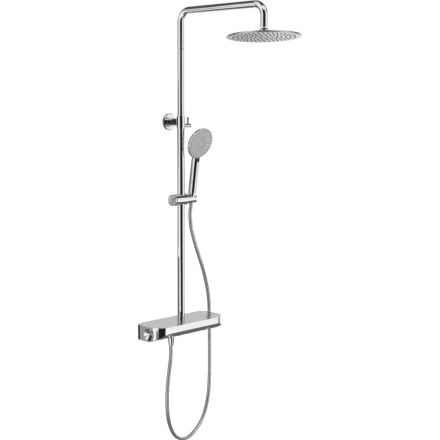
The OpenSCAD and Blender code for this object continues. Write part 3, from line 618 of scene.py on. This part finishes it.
def polished_chrome():
    """Bright plating with the faintest wipe marks and waves."""
    finish = metal("polished_chrome", (0.80, 0.81, 0.82), (0.025, 0.06), 35, 4)
    finish.bump(finish.noise(22, 1), 0.02 * MM, 0.4)
    return finish.material


def shelf_chrome():
    """The top plate, plated over fine lapping marks along its length."""
    finish = metal("shelf_chrome", (0.49, 0.495, 0.50), (0.23, 0.29), 60, 4, (0.2, 1, 1))
    finish.bump(finish.noise(240, 2, (0.1, 1, 1)), 0.01 * MM, 0.3)
    return finish.material


def spray_steel():
    """Satin steel with fine grain."""
    finish = metal("spray_steel", (0.70, 0.71, 0.72), (0.26, 0.36), 500)
    finish.bump(finish.noise(900, 2), 0.02 * MM, 0.3)
    return finish.material


def turned_brass():
    """Bare brass with rings left by the lathe."""
    finish = metal("turned_brass", (0.72, 0.55, 0.27), (0.24, 0.38), 300, 3, (1, 1, 0.1))
    finish.bump(finish.noise(600, 2, (1, 0.1, 1)), 0.02 * MM, 0.3)
    return finish.material


def silver_hose():
    """Smooth silver hose: a soft metallic core under a clear skin, with the faint wind of its strip."""
    finish = Finish("silver_hose", (0.60, 0.61, 0.63), metallic=0.85, roughness=0.27, coat_weight=0.6,
                    coat_roughness=0.08)
    mapping = add_node(finish.tree, "ShaderNodeMapping",
                       {"Vector": finish.coords.outputs["UV"], "Rotation": (0, 0, math.radians(20))})
    wind = add_node(finish.tree, "ShaderNodeTexWave", {"Vector": mapping.outputs["Vector"], "Scale": 3.2},
                    bands_direction="Y")
    tones = finish.tones(wind.outputs["Fac"], (0.0, (0.52, 0.53, 0.55)), (1.0, (0.66, 0.67, 0.69)))
    finish.feed(tones, "Base Color")
    finish.bump(wind.outputs["Fac"], 0.05 * MM, 0.25)
    return finish.material


FACE_GRAIN = (0.03 * MM, 0.4)
RESIN_GRAIN = (0.02 * MM, 0.3)
FINISHES = {
    "chrome": polished_chrome(),
    "satin_chrome": metal("satin_chrome", (0.72, 0.725, 0.73), (0.27, 0.33)).material,
    "grip_chrome": metal("grip_chrome", (0.20, 0.20, 0.205), (0.22, 0.30)).material,
    "shelf": shelf_chrome(),
    "spray_steel": spray_steel(),
    "steel": metal("plain_steel", (0.55, 0.55, 0.56), (0.24, 0.38), 500).material,
    "brass": turned_brass(),
    "face": moulded("face_resin", (0.37, 0.375, 0.38), (0.43, 0.435, 0.44), 0.38, 700, FACE_GRAIN),
    # The ribs' tone, lighter than the face's, is painted highlight for the light that the raised ribs catch.
    "rib": moulded("rib_resin_painted_highlight", (0.53, 0.535, 0.54), (0.59, 0.595, 0.60), 0.34, 700, FACE_GRAIN),
    "white_plastic": moulded("white_resin", (0.72, 0.72, 0.70), (0.80, 0.80, 0.78), 0.45, 400, RESIN_GRAIN),
    "grey_plastic": moulded("grey_resin", (0.16, 0.16, 0.17), (0.22, 0.22, 0.23), 0.45, 400, RESIN_GRAIN),
    "nozzle_rubber": moulded("nozzle_rubber", (0.065, 0.067, 0.07), (0.095, 0.097, 0.10), 0.6, 900),
    "rubber": moulded("seal_rubber", (0.022, 0.022, 0.022), (0.042, 0.042, 0.042), 0.65, 800),
    "hose_skin": silver_hose(),
}
FINISHES["plated_plastic"] = FINISHES["chrome"]


def paint(piece, finish):
    """One finish for the whole piece."""
    piece.data.materials.clear()
    piece.data.materials.append(FINISHES[finish])


def paint_cad_nodes():
    """Every node that stays in view gets the finish of its material slot."""
    slots = {row["node"]: row["material_slot"] for row in frame["record"]["subparts"]}
    for name, node in frame["nodes"].items():
        for place in node.material_slots:
            place.material = FINISHES[slots[name]]


for hose_piece in hose_pieces:
    paint(hose_piece, "hose_skin")
paint(outlet_nut, "chrome")
paint_cad_nodes()


# ---------- pieces in place of nodes

def dressed(node, ease):
    """A merged copy of a CAD node's shape with eased edges, which stands for the node."""
    source = frame["nodes"][node]
    form = bmesh.new()
    form.from_mesh(source.data)
    bmesh.ops.remove_doubles(form, verts=form.verts, dist=2e-6)
    bmesh.ops.dissolve_limit(form, angle_limit=math.radians(0.4), verts=form.verts, edges=form.edges)
    piece = link(node + "_skin", mesh_of(node + "_skin", form))
    smooth(piece.data, SKIN_ANGLE)
    bevel = piece.modifiers.new("eased_edges", "BEVEL")
    bevel.width = ease
    bevel.segments = 2
    bevel.limit_method = "ANGLE"
    bevel.angle_limit = math.radians(SKIN_ANGLE)
    even_normals(piece)
    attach(piece, source["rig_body"])
    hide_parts(node)
    return piece


def place_piece(piece, node, body, finish):
    """Finish, body and the node it stands for, in one go."""
    paint(piece, finish)
    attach(piece, body)
    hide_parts(node)


def make_turned(name, node, body, finish, profile, place, sides=TURN, closed=False, sharp_angle=SHARP_ANGLE):
    """A turned piece in place of a node."""
    form = turned(profile, place, sides, closed)
    place_piece(piece_of(name, form, sharp_angle=sharp_angle), node, body, finish)


def make_ring(name, node, body, finish, profile, place, sides=TURN):
    """The same for a piece with a bore, from a closed profile."""
    make_turned(name, node, body, finish, profile, place, sides, closed=True)


# ---------- riser and arm

def make_lower_riser():
    """The lower tube, from the mixer to the bracket."""
    r, foot, top = standing("lower_riser")
    profile = tube(r, standing("upper_riser")[0] + RUN, foot, top)
    make_ring("lower_riser_tube", "lower_riser", "column", "chrome", profile, upright("lower_riser"))


def make_upper_riser():
    """The upper tube, which slides in the lower one."""
    r, foot, top = standing("upper_riser")
    profile = tube(r, r - TUBE_WALL, foot, top, SEAM_EDGE)
    make_ring("upper_riser_tube", "upper_riser", "telescope", "chrome", profile, upright("upper_riser"))


def arm_line():
    """Centreline of the arm from its joint on the riser to the end of the drop pipe, and its radius."""
    low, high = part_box("shower_arm")
    r = span("shower_arm").x / 2
    back, front, top = high.y - r, low.y + r, high.z - r
    drop_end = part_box("ball_stud")[1].z - SPIGOT_L
    angles = [math.radians(90) * k / BEND_STEPS for k in range(BEND_STEPS + 1)]
    line = [Vector((0, back, low.z)), Vector((0, back, top - BEND_R - LEAD))]
    for a in angles:
        line.append(Vector((0, back - BEND_R * (1 - math.cos(a)), top - BEND_R * (1 - math.sin(a)))))
    for a in angles:
        line.append(Vector((0, front + BEND_R * (1 - math.sin(a)), top - BEND_R * (1 - math.cos(a)))))
    return line + [Vector((0, front, drop_end + LEAD)), Vector((0, front, drop_end))], r


def make_arm():
    """The arm with both bends and its drop pipe."""
    line, r = arm_line()
    place_piece(piece_of("arm_pipe", swept(line, r, ARM_SIDES)), "shower_arm", "arm", "chrome")


def make_seam_ring():
    """The bright ring in the joint between the upper tube and the arm."""
    r, foot, top = standing("seam_ring")
    profile = tube(r - SEAM_RECESS, r - TUBE_WALL, foot + HAIR, top, HAIR)
    make_ring("joint_ring", "seam_ring", "arm", "steel", profile, upright("seam_ring"))


# ---------- inlets and wall bracket

def make_rosettes():
    """The two cover plates of the inlets, with a sloped edge."""
    r, deep = on_wall("wall_rosettes")
    low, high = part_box("wall_rosettes")
    bore = on_wall("inlet_unions")[0]
    profile = [(bore, 0), (r, 0), (r, ROSETTE_RIM * deep), (r - deep, deep), (bore, deep)]
    forms = [turned(eased(profile, EDGE, closed=True), facing_room("wall_rosettes", x), closed=True)
             for x in (low.x + r, high.x - r)]
    place_piece(piece_of("rosettes", *forms), "wall_rosettes", "column", "chrome")


def make_wall_flange():
    """The round cover on the wall, open round the post."""
    r, deep = on_wall("wall_flange")
    bore = standing("riser_bracket")[0] - SLEEVE_STEP
    profile = [(bore, 0), (r, 0), (r, deep - FLANGE_SLOPE), (r - FLANGE_SLOPE, deep), (bore, deep)]
    profile = eased(profile, WIDE_EDGE, closed=True)
    make_ring("flange", "wall_flange", "column", "chrome", profile, facing_room("wall_flange"))


def make_lock_lever():
    """The lever's barrel, with its thinner end in the sleeve."""
    r, left, right = crosswise("lock_lever")
    barrel = left + LEVER_SPIGOT_L
    profile = [(0, left), (LEVER_SPIGOT_R, left), (LEVER_SPIGOT_R, barrel), (r, barrel),
               (r, right - LEVER_SLOPE), (r - LEVER_SLOPE, right), (0, right)]
    make_turned("lever_barrel", "lock_lever", "lever", "chrome", eased(profile, EDGE), lying("lock_lever"))


def make_lock_pin():
    """The upright pin of the lever, with grip rings under its ball."""
    ball, low, top = standing("lock_pin")
    foot = low + crosswise("lock_lever")[0] + PIN_GAP
    r, centre = ball - PIN_STEP, top - ball
    groove = PIN_GROOVE * r
    start = math.asin(groove / ball)
    step = (centre - ball * math.cos(start) - foot) / PIN_RINGS
    profile = [(0, low), (r - PIN_STEP, low), (r - PIN_STEP, foot)]
    for k in range(PIN_RINGS):
        base = foot + step * k
        profile += [(groove, base), (r, base + 0.3 * step), (r, base + 0.7 * step)]
    profile += [(ball * math.sin(a), centre - ball * math.cos(a))
                for a in (start + (math.pi - start) * k / 16 for k in range(17))]
    make_turned("lever_pin", "lock_pin", "lever", "grip_chrome", profile, upright("lock_pin"), PIN_TURN)


# ---------- rain head

def head_place():
    """The tilted place of the rain head, with its origin in the middle of the ball."""
    front, side = (math.radians(angle) for angle in HEAD_TILT)
    return (Matrix.Translation(pivot("head_tilt_front")) @ Matrix.Rotation(side, 4, "Y")
            @ Matrix.Rotation(front, 4, "X"))


def make_ball_stud():
    """The collar under the drop pipe, with the neck and the ball that carry the rain head."""
    ball = pivot("head_tilt_front").z
    collar_r, _, top = standing("ball_stud")
    pipe_end = top - SPIGOT_L
    collar = pipe_end - COLLAR_L
    start = math.asin(NECK_R / BALL_R)
    profile = [(BALL_R * math.sin(a), ball - BALL_R * math.cos(a))
               for a in ((math.pi - start) * k / 20 for k in range(21))]
    profile += eased([(NECK_R, ball + NECK_FOOT), (NECK_R, collar), (collar_r, collar), (collar_r, pipe_end),
                      (SPIGOT_R, pipe_end), (SPIGOT_R, top), (0, top)], EDGE)
    make_turned("ball_joint_stud", "ball_stud", "arm", "chrome", profile, upright("ball_stud"))


def make_ball_nut():
    """The nut that holds the head on the ball, with a sloped top and a wide throat for the neck."""
    r, inner = BALL_NUT_R, BALL_NUT_R - BALL_NUT_WALL
    slope, lip, throat, throat_z, seat_z = 4 * MM, 1.4 * MM, 8 * MM, 6.5 * MM, -2 * MM
    profile = [(inner, NUT_LOW), (r, NUT_LOW), (r, NUT_SHOULDER), (r - slope, NUT_TOP),
               (r - slope - lip, NUT_TOP), (throat, throat_z), (inner, seat_z)]
    profile = eased(profile, EDGE, closed=True)
    make_ring("ball_joint_nut", "ball_nut", "rain_head", "chrome", profile, head_place())


def make_head_shell():
    """The thin upper shell with its sloped rim, and the hub that the ball nut screws on."""
    top, inner = HEAD_T - BALL_UP, PLATE_R + HAIR
    rim_low, under, hub_top = top - RIM_DEPTH, top - HEAD_SHEET, NUT_LOW - HUB_GAP
    profile = [(inner, rim_low), (HEAD_R, rim_low), (HEAD_R, top - RIM_SLOPE), (HEAD_R - RIM_IN, top),
               (HUB_R, top), (HUB_TOP_R, hub_top), (HUB_THREAD_R, hub_top), (HUB_THREAD_R, HUB_THREAD_TOP),
               (HUB_BORE_R, HUB_THREAD_TOP), (HUB_BORE_R, under), (inner, under)]
    profile = eased(profile, DISC_EDGE, closed=True)
    make_ring("rain_head_shell", "head_shell", "rain_head", "satin_chrome", profile, head_place(), HEAD_TURN)


def make_spray_plate():
    """The round underside of the rain head."""
    profile, place = rod(PLATE_R, -BALL_UP, PLATE_T - BALL_UP, DISC_EDGE), head_place()
    make_turned("rain_spray_plate", "spray_plate", "rain_head", "spray_steel", profile, place, HEAD_TURN)


# ---------- rings of nozzles and ribs

class RingTree:
    """A node tree that sets one form on every point of some rings."""

    def __init__(self, name):
        self.tree = bpy.data.node_groups.new(name, "GeometryNodeTree")
        self.tree.interface.new_socket("Geometry", in_out="OUTPUT", socket_type="NodeSocketGeometry")
        self.inlet = self.tree.nodes.new("NodeGroupInput")
        self.sizes = {}

    def size(self, name, value):
        """A named input, with the value that the modifier will hand in."""
        socket = self.tree.interface.new_socket(name, in_out="INPUT", socket_type="NodeSocketFloat")
        socket.default_value = value
        self.sizes[socket.identifier] = value
        return self.inlet.outputs[name]

    def number(self, operation, first, second):
        """Two numbers added or multiplied."""
        return add_node(self.tree, "ShaderNodeMath", {0: first, 1: second}, operation=operation).outputs[0]

    def ring(self, count, radius, turn):
        """A ring of points, turned by part of a circle."""
        circle = add_node(self.tree, "GeometryNodeMeshCircle", {"Vertices": count, "Radius": radius})
        moved = add_node(self.tree, "GeometryNodeTransform",
                         {"Geometry": circle.outputs[0], "Rotation": (0, 0, math.tau * turn)})
        return moved.outputs[0]

    def joined(self, parts):
        """Several rings as one."""
        join = self.tree.nodes.new("GeometryNodeJoinGeometry")
        for part in parts:
            self.tree.links.new(part, join.inputs[0])
        return join.outputs[0]

    def nozzle(self, radius, length, sides=12):
        """A tapered nozzle that stands on its foot."""
        tip = self.number("MULTIPLY", radius, NOZZLE_TAPER)
        cone = add_node(self.tree, "GeometryNodeMeshCone",
                        {"Vertices": sides, "Radius Bottom": radius, "Radius Top": tip, "Depth": length})
        return cone.outputs["Mesh"]

    def bar(self, length, width, height):
        """A flat bar, with its middle on the point."""
        size = add_node(self.tree, "ShaderNodeCombineXYZ", {"X": length, "Y": width, "Z": height})
        return add_node(self.tree, "GeometryNodeMeshCube", {"Size": size.outputs[0]}).outputs["Mesh"]

    def on_points(self, points, form, aligned=False):
        """One form on every point, turned to point away from the middle where it is aligned."""
        placed = add_node(self.tree, "GeometryNodeInstanceOnPoints", {"Points": points, "Instance": form})
        if aligned:
            place = self.tree.nodes.new("GeometryNodeInputPosition")
            align = add_node(self.tree, "FunctionNodeAlignRotationToVector", {"Vector": place.outputs[0]},
                             axis="X")
            self.tree.links.new(align.outputs[0], placed.inputs["Rotation"])
        return placed.outputs[0]

    def built(self, name, finish, geometry, place):
        """The finished mesh: real, coloured and set in its place."""
        real = add_node(self.tree, "GeometryNodeRealizeInstances", {"Geometry": geometry})
        dyed = add_node(self.tree, "GeometryNodeSetMaterial",
                        {"Geometry": real.outputs[0], "Material": FINISHES[finish]})
        add_node(self.tree, "NodeGroupOutput", {0: dyed.outputs[0]})
        holder = link(name + "_points", bpy.data.meshes.new(name + "_points"))
        modifier = holder.modifiers.new("rings", "NODES")
        modifier.node_group = self.tree
        for identifier, value in self.sizes.items():
            modifier[identifier] = value
        graph = bpy.context.evaluated_depsgraph_get()
        mesh = bpy.data.meshes.new_from_object(holder.evaluated_get(graph))
        holder.modifiers.remove(modifier)
        bpy.data.objects.remove(holder)
        mesh.name = name
        mesh.transform(place)
        smooth(mesh, 35)
        return link(name, mesh)


def make_rain_nozzles():
    """Rings of rubber nozzles under the rain head, six more in each ring."""
    tree = RingTree("rain_field")
    field = tree.size("Field radius", FIELD_R)
    radius, length = tree.size("Nozzle radius", RAIN_NOZZLE_R), tree.size("Nozzle length", RAIN_NOZZLE_L)
    rings = [tree.ring(6 * i, tree.number("MULTIPLY", field, i / RAIN_RINGS), (i % 2) / (12 * i))
             for i in range(1, RAIN_RINGS + 1)]
    under = head_place() @ Matrix.Translation((0, 0, HAIR - BALL_UP)) @ Matrix.Rotation(math.pi, 4, "X")
    geometry = tree.on_points(tree.joined(rings), tree.nozzle(radius, length))
    piece = tree.built("rain_nozzle_field", "nozzle_rubber", geometry, under)
    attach(piece, "rain_head")
    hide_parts("rain_nozzles")


# ---------- hand shower

def hand_place():
    """The leaning place of the hand shower: Z up its handle, -Y to the front."""
    at = pivot("holder_tilt") + Vector((0, -CUP_FORWARD, 0))
    return Matrix.Translation(at) @ Matrix.Rotation(math.radians(LEAN), 4, "X")


def face_place(down=0.0):
    """The place of the spray face, or this far behind it, with Z the way the water goes."""
    return (hand_place() @ Matrix.Translation((0, -FACE_FORWARD, FACE_UP))
            @ Matrix.Rotation(math.radians(FACE_TILT + 90), 4, "X") @ Matrix.Translation((0, 0, -down)))


def lofted(place, sections, sides=64):
    """A form through round sections of (height, place to the front, radius, lean in degrees)."""
    form = bmesh.new()
    rings = []
    for height, forward, radius, lean in sections:
        a = math.radians(lean)
        across, over = Vector((1, 0, 0)), Vector((0, math.cos(a), math.sin(a)))
        centre = Vector((0, -forward, height))
        rings.append([form.verts.new(place @ (centre + radius * (math.cos(t) * across + math.sin(t) * over)))
                      for t in (math.tau * k / sides for k in range(sides))])
    close_up(form, rings)
    return form


def carved(form, cutter):
    """A form with the room of the cutter taken out of it."""
    pieces = [link(name, mesh_of(name, shape)) for name, shape in (("whole", form), ("cutter", cutter))]
    cut = pieces[0].modifiers.new("cut", "BOOLEAN")
    cut.operation = "DIFFERENCE"
    cut.object = pieces[1]
    cut.solver = "EXACT"
    left = bmesh.new()
    left.from_object(pieces[0], bpy.context.evaluated_depsgraph_get())
    for piece in pieces:
        mesh = piece.data
        bpy.data.objects.remove(piece)
        bpy.data.meshes.remove(mesh)
    return left


def make_hand_shell():
    """The round head, and the handle that runs into its back with a slope down to its rim."""
    r, back, pocket_r = HAND_R, -HAND_DEPTH, FACE_R + HAIR
    outline = [(0, back), (CROWN_R, back), (r - SHOULDER_IN, back + SHOULDER_UP),
               (r - LIP_IN, back + LIP_UP), (r, -RIM_WIDTH), (r - RIM_EDGE, 0), (pocket_r, 0),
               (pocket_r, -POCKET), (0, -POCKET)]
    head = turned(eased(outline, BACK_EDGE, steps=6), face_place(), sides=HAND_TURN)
    handle = lofted(hand_place(), [(h * MM, f * MM, radius * MM, lean) for h, f, radius, lean in HANDLE])
    room = [(0, -SLOPE_START), (FACE_R, -SLOPE_START), (FACE_R, 0), (r, 0), (r + SLOPE_L, SLOPE_L),
            (0, SLOPE_L)]
    handle = carved(handle, turned(room, face_place(), sides=HAND_TURN))
    place_piece(piece_of("hand_shower_shell", head, handle), "handset_shell", "handset", "chrome")


def make_spray_face():
    """The grey face: a smooth middle inside a fine groove, and a flat field for the nozzles."""
    top, field, groove = DISC_UP - FACE_DOWN, FIELD_UP - FACE_DOWN, -GROOVE_DOWN - FACE_DOWN
    disc_r, field_r = SMOOTH_R - 7 * MM, FACE_R - 4.5 * MM
    floor_in = disc_r + GROOVE_WALL
    floor_out = floor_in + GROOVE_FLOOR
    profile = [(0, top), (disc_r, top), (floor_in, groove), (floor_out, groove),
               (floor_out + GROOVE_WALL, field), (field_r, field),
               (field_r + FIELD_SLOPE, -HAIR - FACE_DOWN), (FACE_R, -FACE_DOWN),
               (FACE_R, -FACE_DOWN - FACE_T), (0, -FACE_DOWN - FACE_T)]
    profile = eased(profile, FINE_EDGE)
    make_turned("hand_spray_face", "handset_face", "handset", "face", profile, face_place(), HAND_TURN)


def make_hand_nozzles():
    """Spokes of rubber nozzles on the spray face."""
    tree = RingTree("hand_field")
    inner, step = tree.size("Inner radius", SMOOTH_R), tree.size("Ring step", SPOKE_L / (SPOKE_NOZZLES - 1))
    radius, length = tree.size("Nozzle radius", HAND_NOZZLE_R), tree.size("Nozzle length", HAND_NOZZLE_L)
    radii = [tree.number("ADD", inner, tree.number("MULTIPLY", step, i)) for i in range(SPOKE_NOZZLES)]
    rings = [tree.ring(SPOKES, out, 0) for out in radii]
    geometry = tree.on_points(tree.joined(rings), tree.nozzle(radius, length))
    piece = tree.built("hand_nozzle_field", "nozzle_rubber", geometry, face_place(HAND_NOZZLE_DOWN))
    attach(piece, "handset")
    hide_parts("handset_nozzles")


def make_face_ribs():
    """Low ribs between the spokes of nozzles, in a lighter resin whose tone is painted highlight."""
    tree = RingTree("face_ribs")
    length, width = tree.size("Rib length", SPOKE_L), tree.size("Rib width", RIB_WIDTH)
    height, radius = tree.size("Rib height", RIB_HEIGHT), tree.size("Middle radius", SMOOTH_R + SPOKE_L / 2)
    points = tree.ring(SPOKES, radius, 0.5 / SPOKES)
    geometry = tree.on_points(points, tree.bar(length, width, height), aligned=True)
    piece = tree.built("hand_face_ribs", "rib", geometry, face_place(RIB_DOWN))
    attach(piece, "handset")


def make_top_nut():
    """The cone nut at the foot of the handle, which sits in the holder."""
    place, end = hand_place() @ Matrix.Translation((0, 0, -TOP_NUT_DOWN)), TOP_NUT_L + TOP_SPIGOT_L
    profile = [(TIP_BORE_R, 0), (TIP_R, 0), (MOUTH_R, TOP_NUT_L), (TOP_SPIGOT_R, TOP_NUT_L),
               (TOP_SPIGOT_R, end), (TIP_BORE_R, end)]
    profile = eased(profile, EDGE, closed=True)
    make_ring("holder_hose_nut", "hose_nut_top", "handset", "chrome", profile, place)


# ---------- grip, knobs and button

def make_grip():
    """The tightening grip on its spindle, with a slightly hollow end."""
    r, left, right = crosswise("slider_knob")
    seat = left + GRIP_L
    profile = [(0, left + GRIP_HOLLOW), (r - GRIP_RIM, left + GRIP_SAG), (r - GRIP_SLOPE_IN, left),
               (r, left + GRIP_SLOPE), (r, seat), (SPINDLE_R, seat), (SPINDLE_R, right), (0, right)]
    profile = eased(profile, GRIP_EDGE)
    make_turned("tightening_grip", "slider_knob", "grip", "satin_chrome", profile, lying("slider_knob"))


def knob_profiles(node, cap, outward):
    """Profiles of a knob's rim and of its dished end, along X."""
    r, left, right = crosswise(node)
    root, shoulder = (right, left) if outward < 0 else (left, right)
    tip = crosswise(cap)[1 if outward < 0 else 2]
    bottom, lip_r = tip - outward * KNOB_DISH, r - CAP_SLOPE
    rim = [(KNOB_BORE_R, root), (r, root), (r, shoulder), (r - KNOB_RIM, shoulder), (KNOB_BORE_R, bottom)]
    end = [(0, bottom - outward * CAP_T), (r - CAP_SEAT, shoulder), (r, shoulder),
           (r, tip - outward * CAP_SLOPE), (lip_r, tip), (lip_r - CAP_LIP, tip), (DISH_FLAT_R, bottom),
           (0, bottom)]
    return rim, end


def make_knob(node, cap, body, outward):
    """A knob's rim and its dished end. Outward is the way it faces along X, -1 or 1."""
    rim, end = knob_profiles(node, cap, outward)
    make_ring(node + "_rim", node, body, "chrome", eased(rim, FINE_EDGE, closed=True), lying(node))
    make_turned(cap + "_end", cap, body, "chrome", eased(end, FINE_EDGE), lying(node), sharp_angle=20)


def make_safety_button():
    """The stop button in the end of the temperature knob."""
    profile, place = rod(*crosswise("safety_button"), GRIP_EDGE), lying("safety_button")
    make_turned("hot_water_button", "safety_button", "button", "chrome", profile, place, PIN_TURN)


make_lower_riser()
make_upper_riser()
make_arm()
make_seam_ring()
make_rosettes()
make_wall_flange()
make_lock_lever()
make_lock_pin()
make_ball_stud()
make_ball_nut()
make_head_shell()
make_spray_plate()
make_rain_nozzles()
make_hand_shell()
make_spray_face()
make_hand_nozzles()
make_face_ribs()
make_top_nut()
make_grip()
make_knob("flow_knob", "flow_cap", "flow", -1)
make_knob("temperature_knob", "temperature_cap", "temperature", 1)
make_safety_button()
for node, ease, finish in (("riser_bracket", EDGE, "chrome"), ("slider_body", EDGE, "chrome"),
                           ("handset_holder", EDGE, "chrome"), ("casing", WIDE_EDGE, "chrome"),
                           ("shelf_plate", FINE_EDGE, "shelf")):
    paint(dressed(node, ease), finish)


# ---------- light and background

def glowing(name, brightness):
    """A surface of plain brightness."""
    material, tree = new_material(name)
    tree.nodes.clear()
    light = add_node(tree, "ShaderNodeEmission", {"Color": (brightness, brightness, brightness, 1)})
    add_node(tree, "ShaderNodeOutputMaterial", {"Surface": light.outputs[0]})
    return material


def make_card(name, brightness, corners, faces=None):
    """A card seen only in reflections."""
    mesh = bpy.data.meshes.new(name)
    mesh.from_pydata([Vector(c) for c in corners], [], faces or [list(range(len(corners)))])
    card = link(name, mesh)
    card.data.materials.append(glowing(name, brightness))
    for rays in ("camera", "diffuse", "shadow", "transmission", "volume_scatter"):
        setattr(card, "visible_" + rays, False)


def bent_card(name, brightness, rows, distance=CARD_DISTANCE):
    """A card bent round the column, through rows of (height, first azimuth, last azimuth)."""
    corners = []
    for height, first, last in rows:
        for k in range(CARD_FACES + 1):
            a = math.radians(first + (last - first) * k / CARD_FACES)
            corners.append((distance * math.sin(a), CARD_MIDDLE_Y - distance * math.cos(a), height))
    wide = CARD_FACES + 1
    faces = [(row * wide + k, row * wide + k + 1, (row + 1) * wide + k + 1, (row + 1) * wide + k)
             for row in range(len(rows) - 1) for k in range(CARD_FACES)]
    make_card(name, brightness, corners, faces)


def floor_card(name, brightness, near, far, height, sides=72):
    """A flat card round the foot of the column, which reaches less far towards the camera."""
    corners = []
    for a in (math.tau * k / sides for k in range(sides)):
        to_camera = abs(a - math.radians(CAMERA_SIDE)) < math.radians(CAMERA_ROOM)
        radius = near if to_camera else far
        corners.append((radius * math.cos(a), FLOOR_MIDDLE_Y + radius * math.sin(a), height))
    make_card(name, brightness, corners)


def any_ray(tree, *kinds):
    """A number that is 1 for rays of these kinds and 0 for all others."""
    rays = tree.nodes.new("ShaderNodeLightPath")
    found = rays.outputs[kinds[0]]
    for kind in kinds[1:]:
        either = add_node(tree, "ShaderNodeMath", {0: found, 1: rays.outputs[kind]}, operation="MAXIMUM")
        found = either.outputs[0]
    return found


def pale_floor():
    """White with a little glow of its own, which the shadow still darkens."""
    material, tree = new_material("pale_floor")
    shader = tree.nodes["Principled BSDF"]
    shader.inputs["Base Color"].default_value = (0.86, 0.86, 0.86, 1)
    shader.inputs["Roughness"].default_value = 0.9
    seen = any_ray(tree, "Is Camera Ray", "Is Glossy Ray")
    lift = add_node(tree, "ShaderNodeMath", {0: seen, 1: FLOOR_LIFT}, operation="MULTIPLY")
    white = add_node(tree, "ShaderNodeEmission", {"Strength": lift.outputs[0]})
    both = add_node(tree, "ShaderNodeAddShader", {0: shader.outputs[0], 1: white.outputs[0]})
    tree.links.new(both.outputs[0], tree.nodes["Material Output"].inputs["Surface"])
    return material


def make_floor(half=30):
    """The floor, which takes the shadow."""
    mesh = bpy.data.meshes.new("floor")
    corners = [(x, y, FLOOR_Z) for x, y in ((-half, -half), (half, -half), (half, half), (-half, half))]
    mesh.from_pydata(corners, [], [(0, 1, 2, 3)])
    floor = link("floor", mesh)
    floor.data.materials.append(pale_floor())


def make_world():
    """White to the camera and in reflections, and a softer grey as light on the floor."""
    world = bpy.data.worlds.new("studio")
    bpy.context.scene.world = world
    world.use_nodes = True
    tree = world.node_tree
    tree.nodes.clear()
    seen = any_ray(tree, "Is Camera Ray", "Is Glossy Ray", "Is Transmission Ray")
    soft = add_node(tree, "ShaderNodeBackground", {"Color": (0.9, 0.9, 0.9, 1), "Strength": 0.8})
    white = add_node(tree, "ShaderNodeBackground", {"Color": (1, 1, 1, 1)})
    mix = add_node(tree, "ShaderNodeMixShader", {0: seen, 1: soft.outputs[0], 2: white.outputs[0]})
    add_node(tree, "ShaderNodeOutputWorld", {"Surface": mix.outputs[0]})


def make_lamp():
    """One large lamp from the right, which lights the floor and isn't seen in the plating."""
    data = bpy.data.lights.new("soft_box", "AREA")
    data.shape = "RECTANGLE"
    data.size, data.size_y = 2.4, 3.0
    data.energy = 85
    lamp = bpy.data.objects.new("soft_box", data)
    lamp.location = (2.6, -2.9, 1.4)
    middle_of_column = Vector((0, -0.2, 0.5))
    lamp.rotation_euler = (middle_of_column - lamp.location).to_track_quat("-Z", "Y").to_euler()
    lamp.visible_glossy = False
    bpy.context.scene.collection.objects.link(lamp)


def make_dark_cards():
    """Dark bands down the tubes, on the arm and on the front of the shelf."""
    bent_card("dark_card", CARD_DARK, [(-1.0, -58, -6), (-0.632, -58, -6), (-0.622, -60, 11),
                                      (-0.33, -65, 10), (-0.05, -71, 7), (0.3, -76, 8), (0.86, -77, -6),
                                      (1.14, -76, -5), (1.30, -78, 0), (3.2, -82, -6)])
    bent_card("rear_dark_card", 0.05, [(-0.62, -164, -147), (-0.13, -164, -147), (-0.12, -164, -133),
                                       (0.07, -164, -133), (0.08, -164, -142), (0.29, -164, -142),
                                       (0.30, -164, -133), (0.49, -164, -133), (0.50, -164, -126),
                                       (0.80, -164, -126), (0.83, -164, -139), (1.48, -164, -139)])
    bent_card("low_rear_card", 0.02, [(-1.0, 150, 202), (-0.15, 150, 202)])
    bent_card("high_side_card", 0.06, [(1.88, 40, 135), (3.2, 40, 135)])
    bent_card("high_rear_card", 0.10, [(1.78, -165, -133), (3.2, -165, -133)])
    bent_card("end_dark_card", 0.03, [(-0.5, -158, -137), (0.12, -158, -137)], NEAR_CARD)
    make_card("post_card", 0.04, [(-0.14, 0.03, 0.58), (-0.06, 0.11, 0.58), (-0.06, 0.11, 0.90),
                                  (-0.14, 0.03, 0.90)])
    make_card("nut_card", 0.02, [(-0.71, -0.65, -0.975), (-2.52, -2.07, -0.975), (0, -3.3, -0.975),
                                 (0, -1, -0.975)])


def make_grey_cards():
    """Grey sides of the tubes, the shelf's end and top, and the underside of the casing."""
    bent_card("corner_card", 0.22, [(-1.0, -76, -58), (-0.632, -76, -58)])
    bent_card("rear_card", 0.30, [(-0.15, 125, 196), (0.40, 125, 196), (0.45, 150, 196), (3.2, 150, 196)])
    bent_card("grip_card", 0.60, [(0.08, -142, -126), (0.29, -142, -126)])
    bent_card("pale_card", 0.42, [(-1.0, 53, 82), (1.85, 53, 82)])
    bent_card("end_card", 0.36, [(-0.5, -137, -100), (0.12, -137, -100)], NEAR_CARD)
    make_card("ceiling_card", 0.09, [(-3.6, 1.3, 3.2), (-0.5, 1.3, 3.2), (-0.5, -0.2, 3.2),
                                     (-1.3, -0.2, 3.2), (-1.3, -1.25, 3.2), (3.6, -1.25, 3.2),
                                     (3.6, 3.6, 3.2), (-3.6, 3.6, 3.2)])
    floor_card("floor_card", 0.14, near=0.9, far=2.9, height=-0.98)


make_world()
make_lamp()
make_floor()
make_dark_cards()
make_grey_cards()
bpy.context.scene.view_settings.view_transform = "Standard"
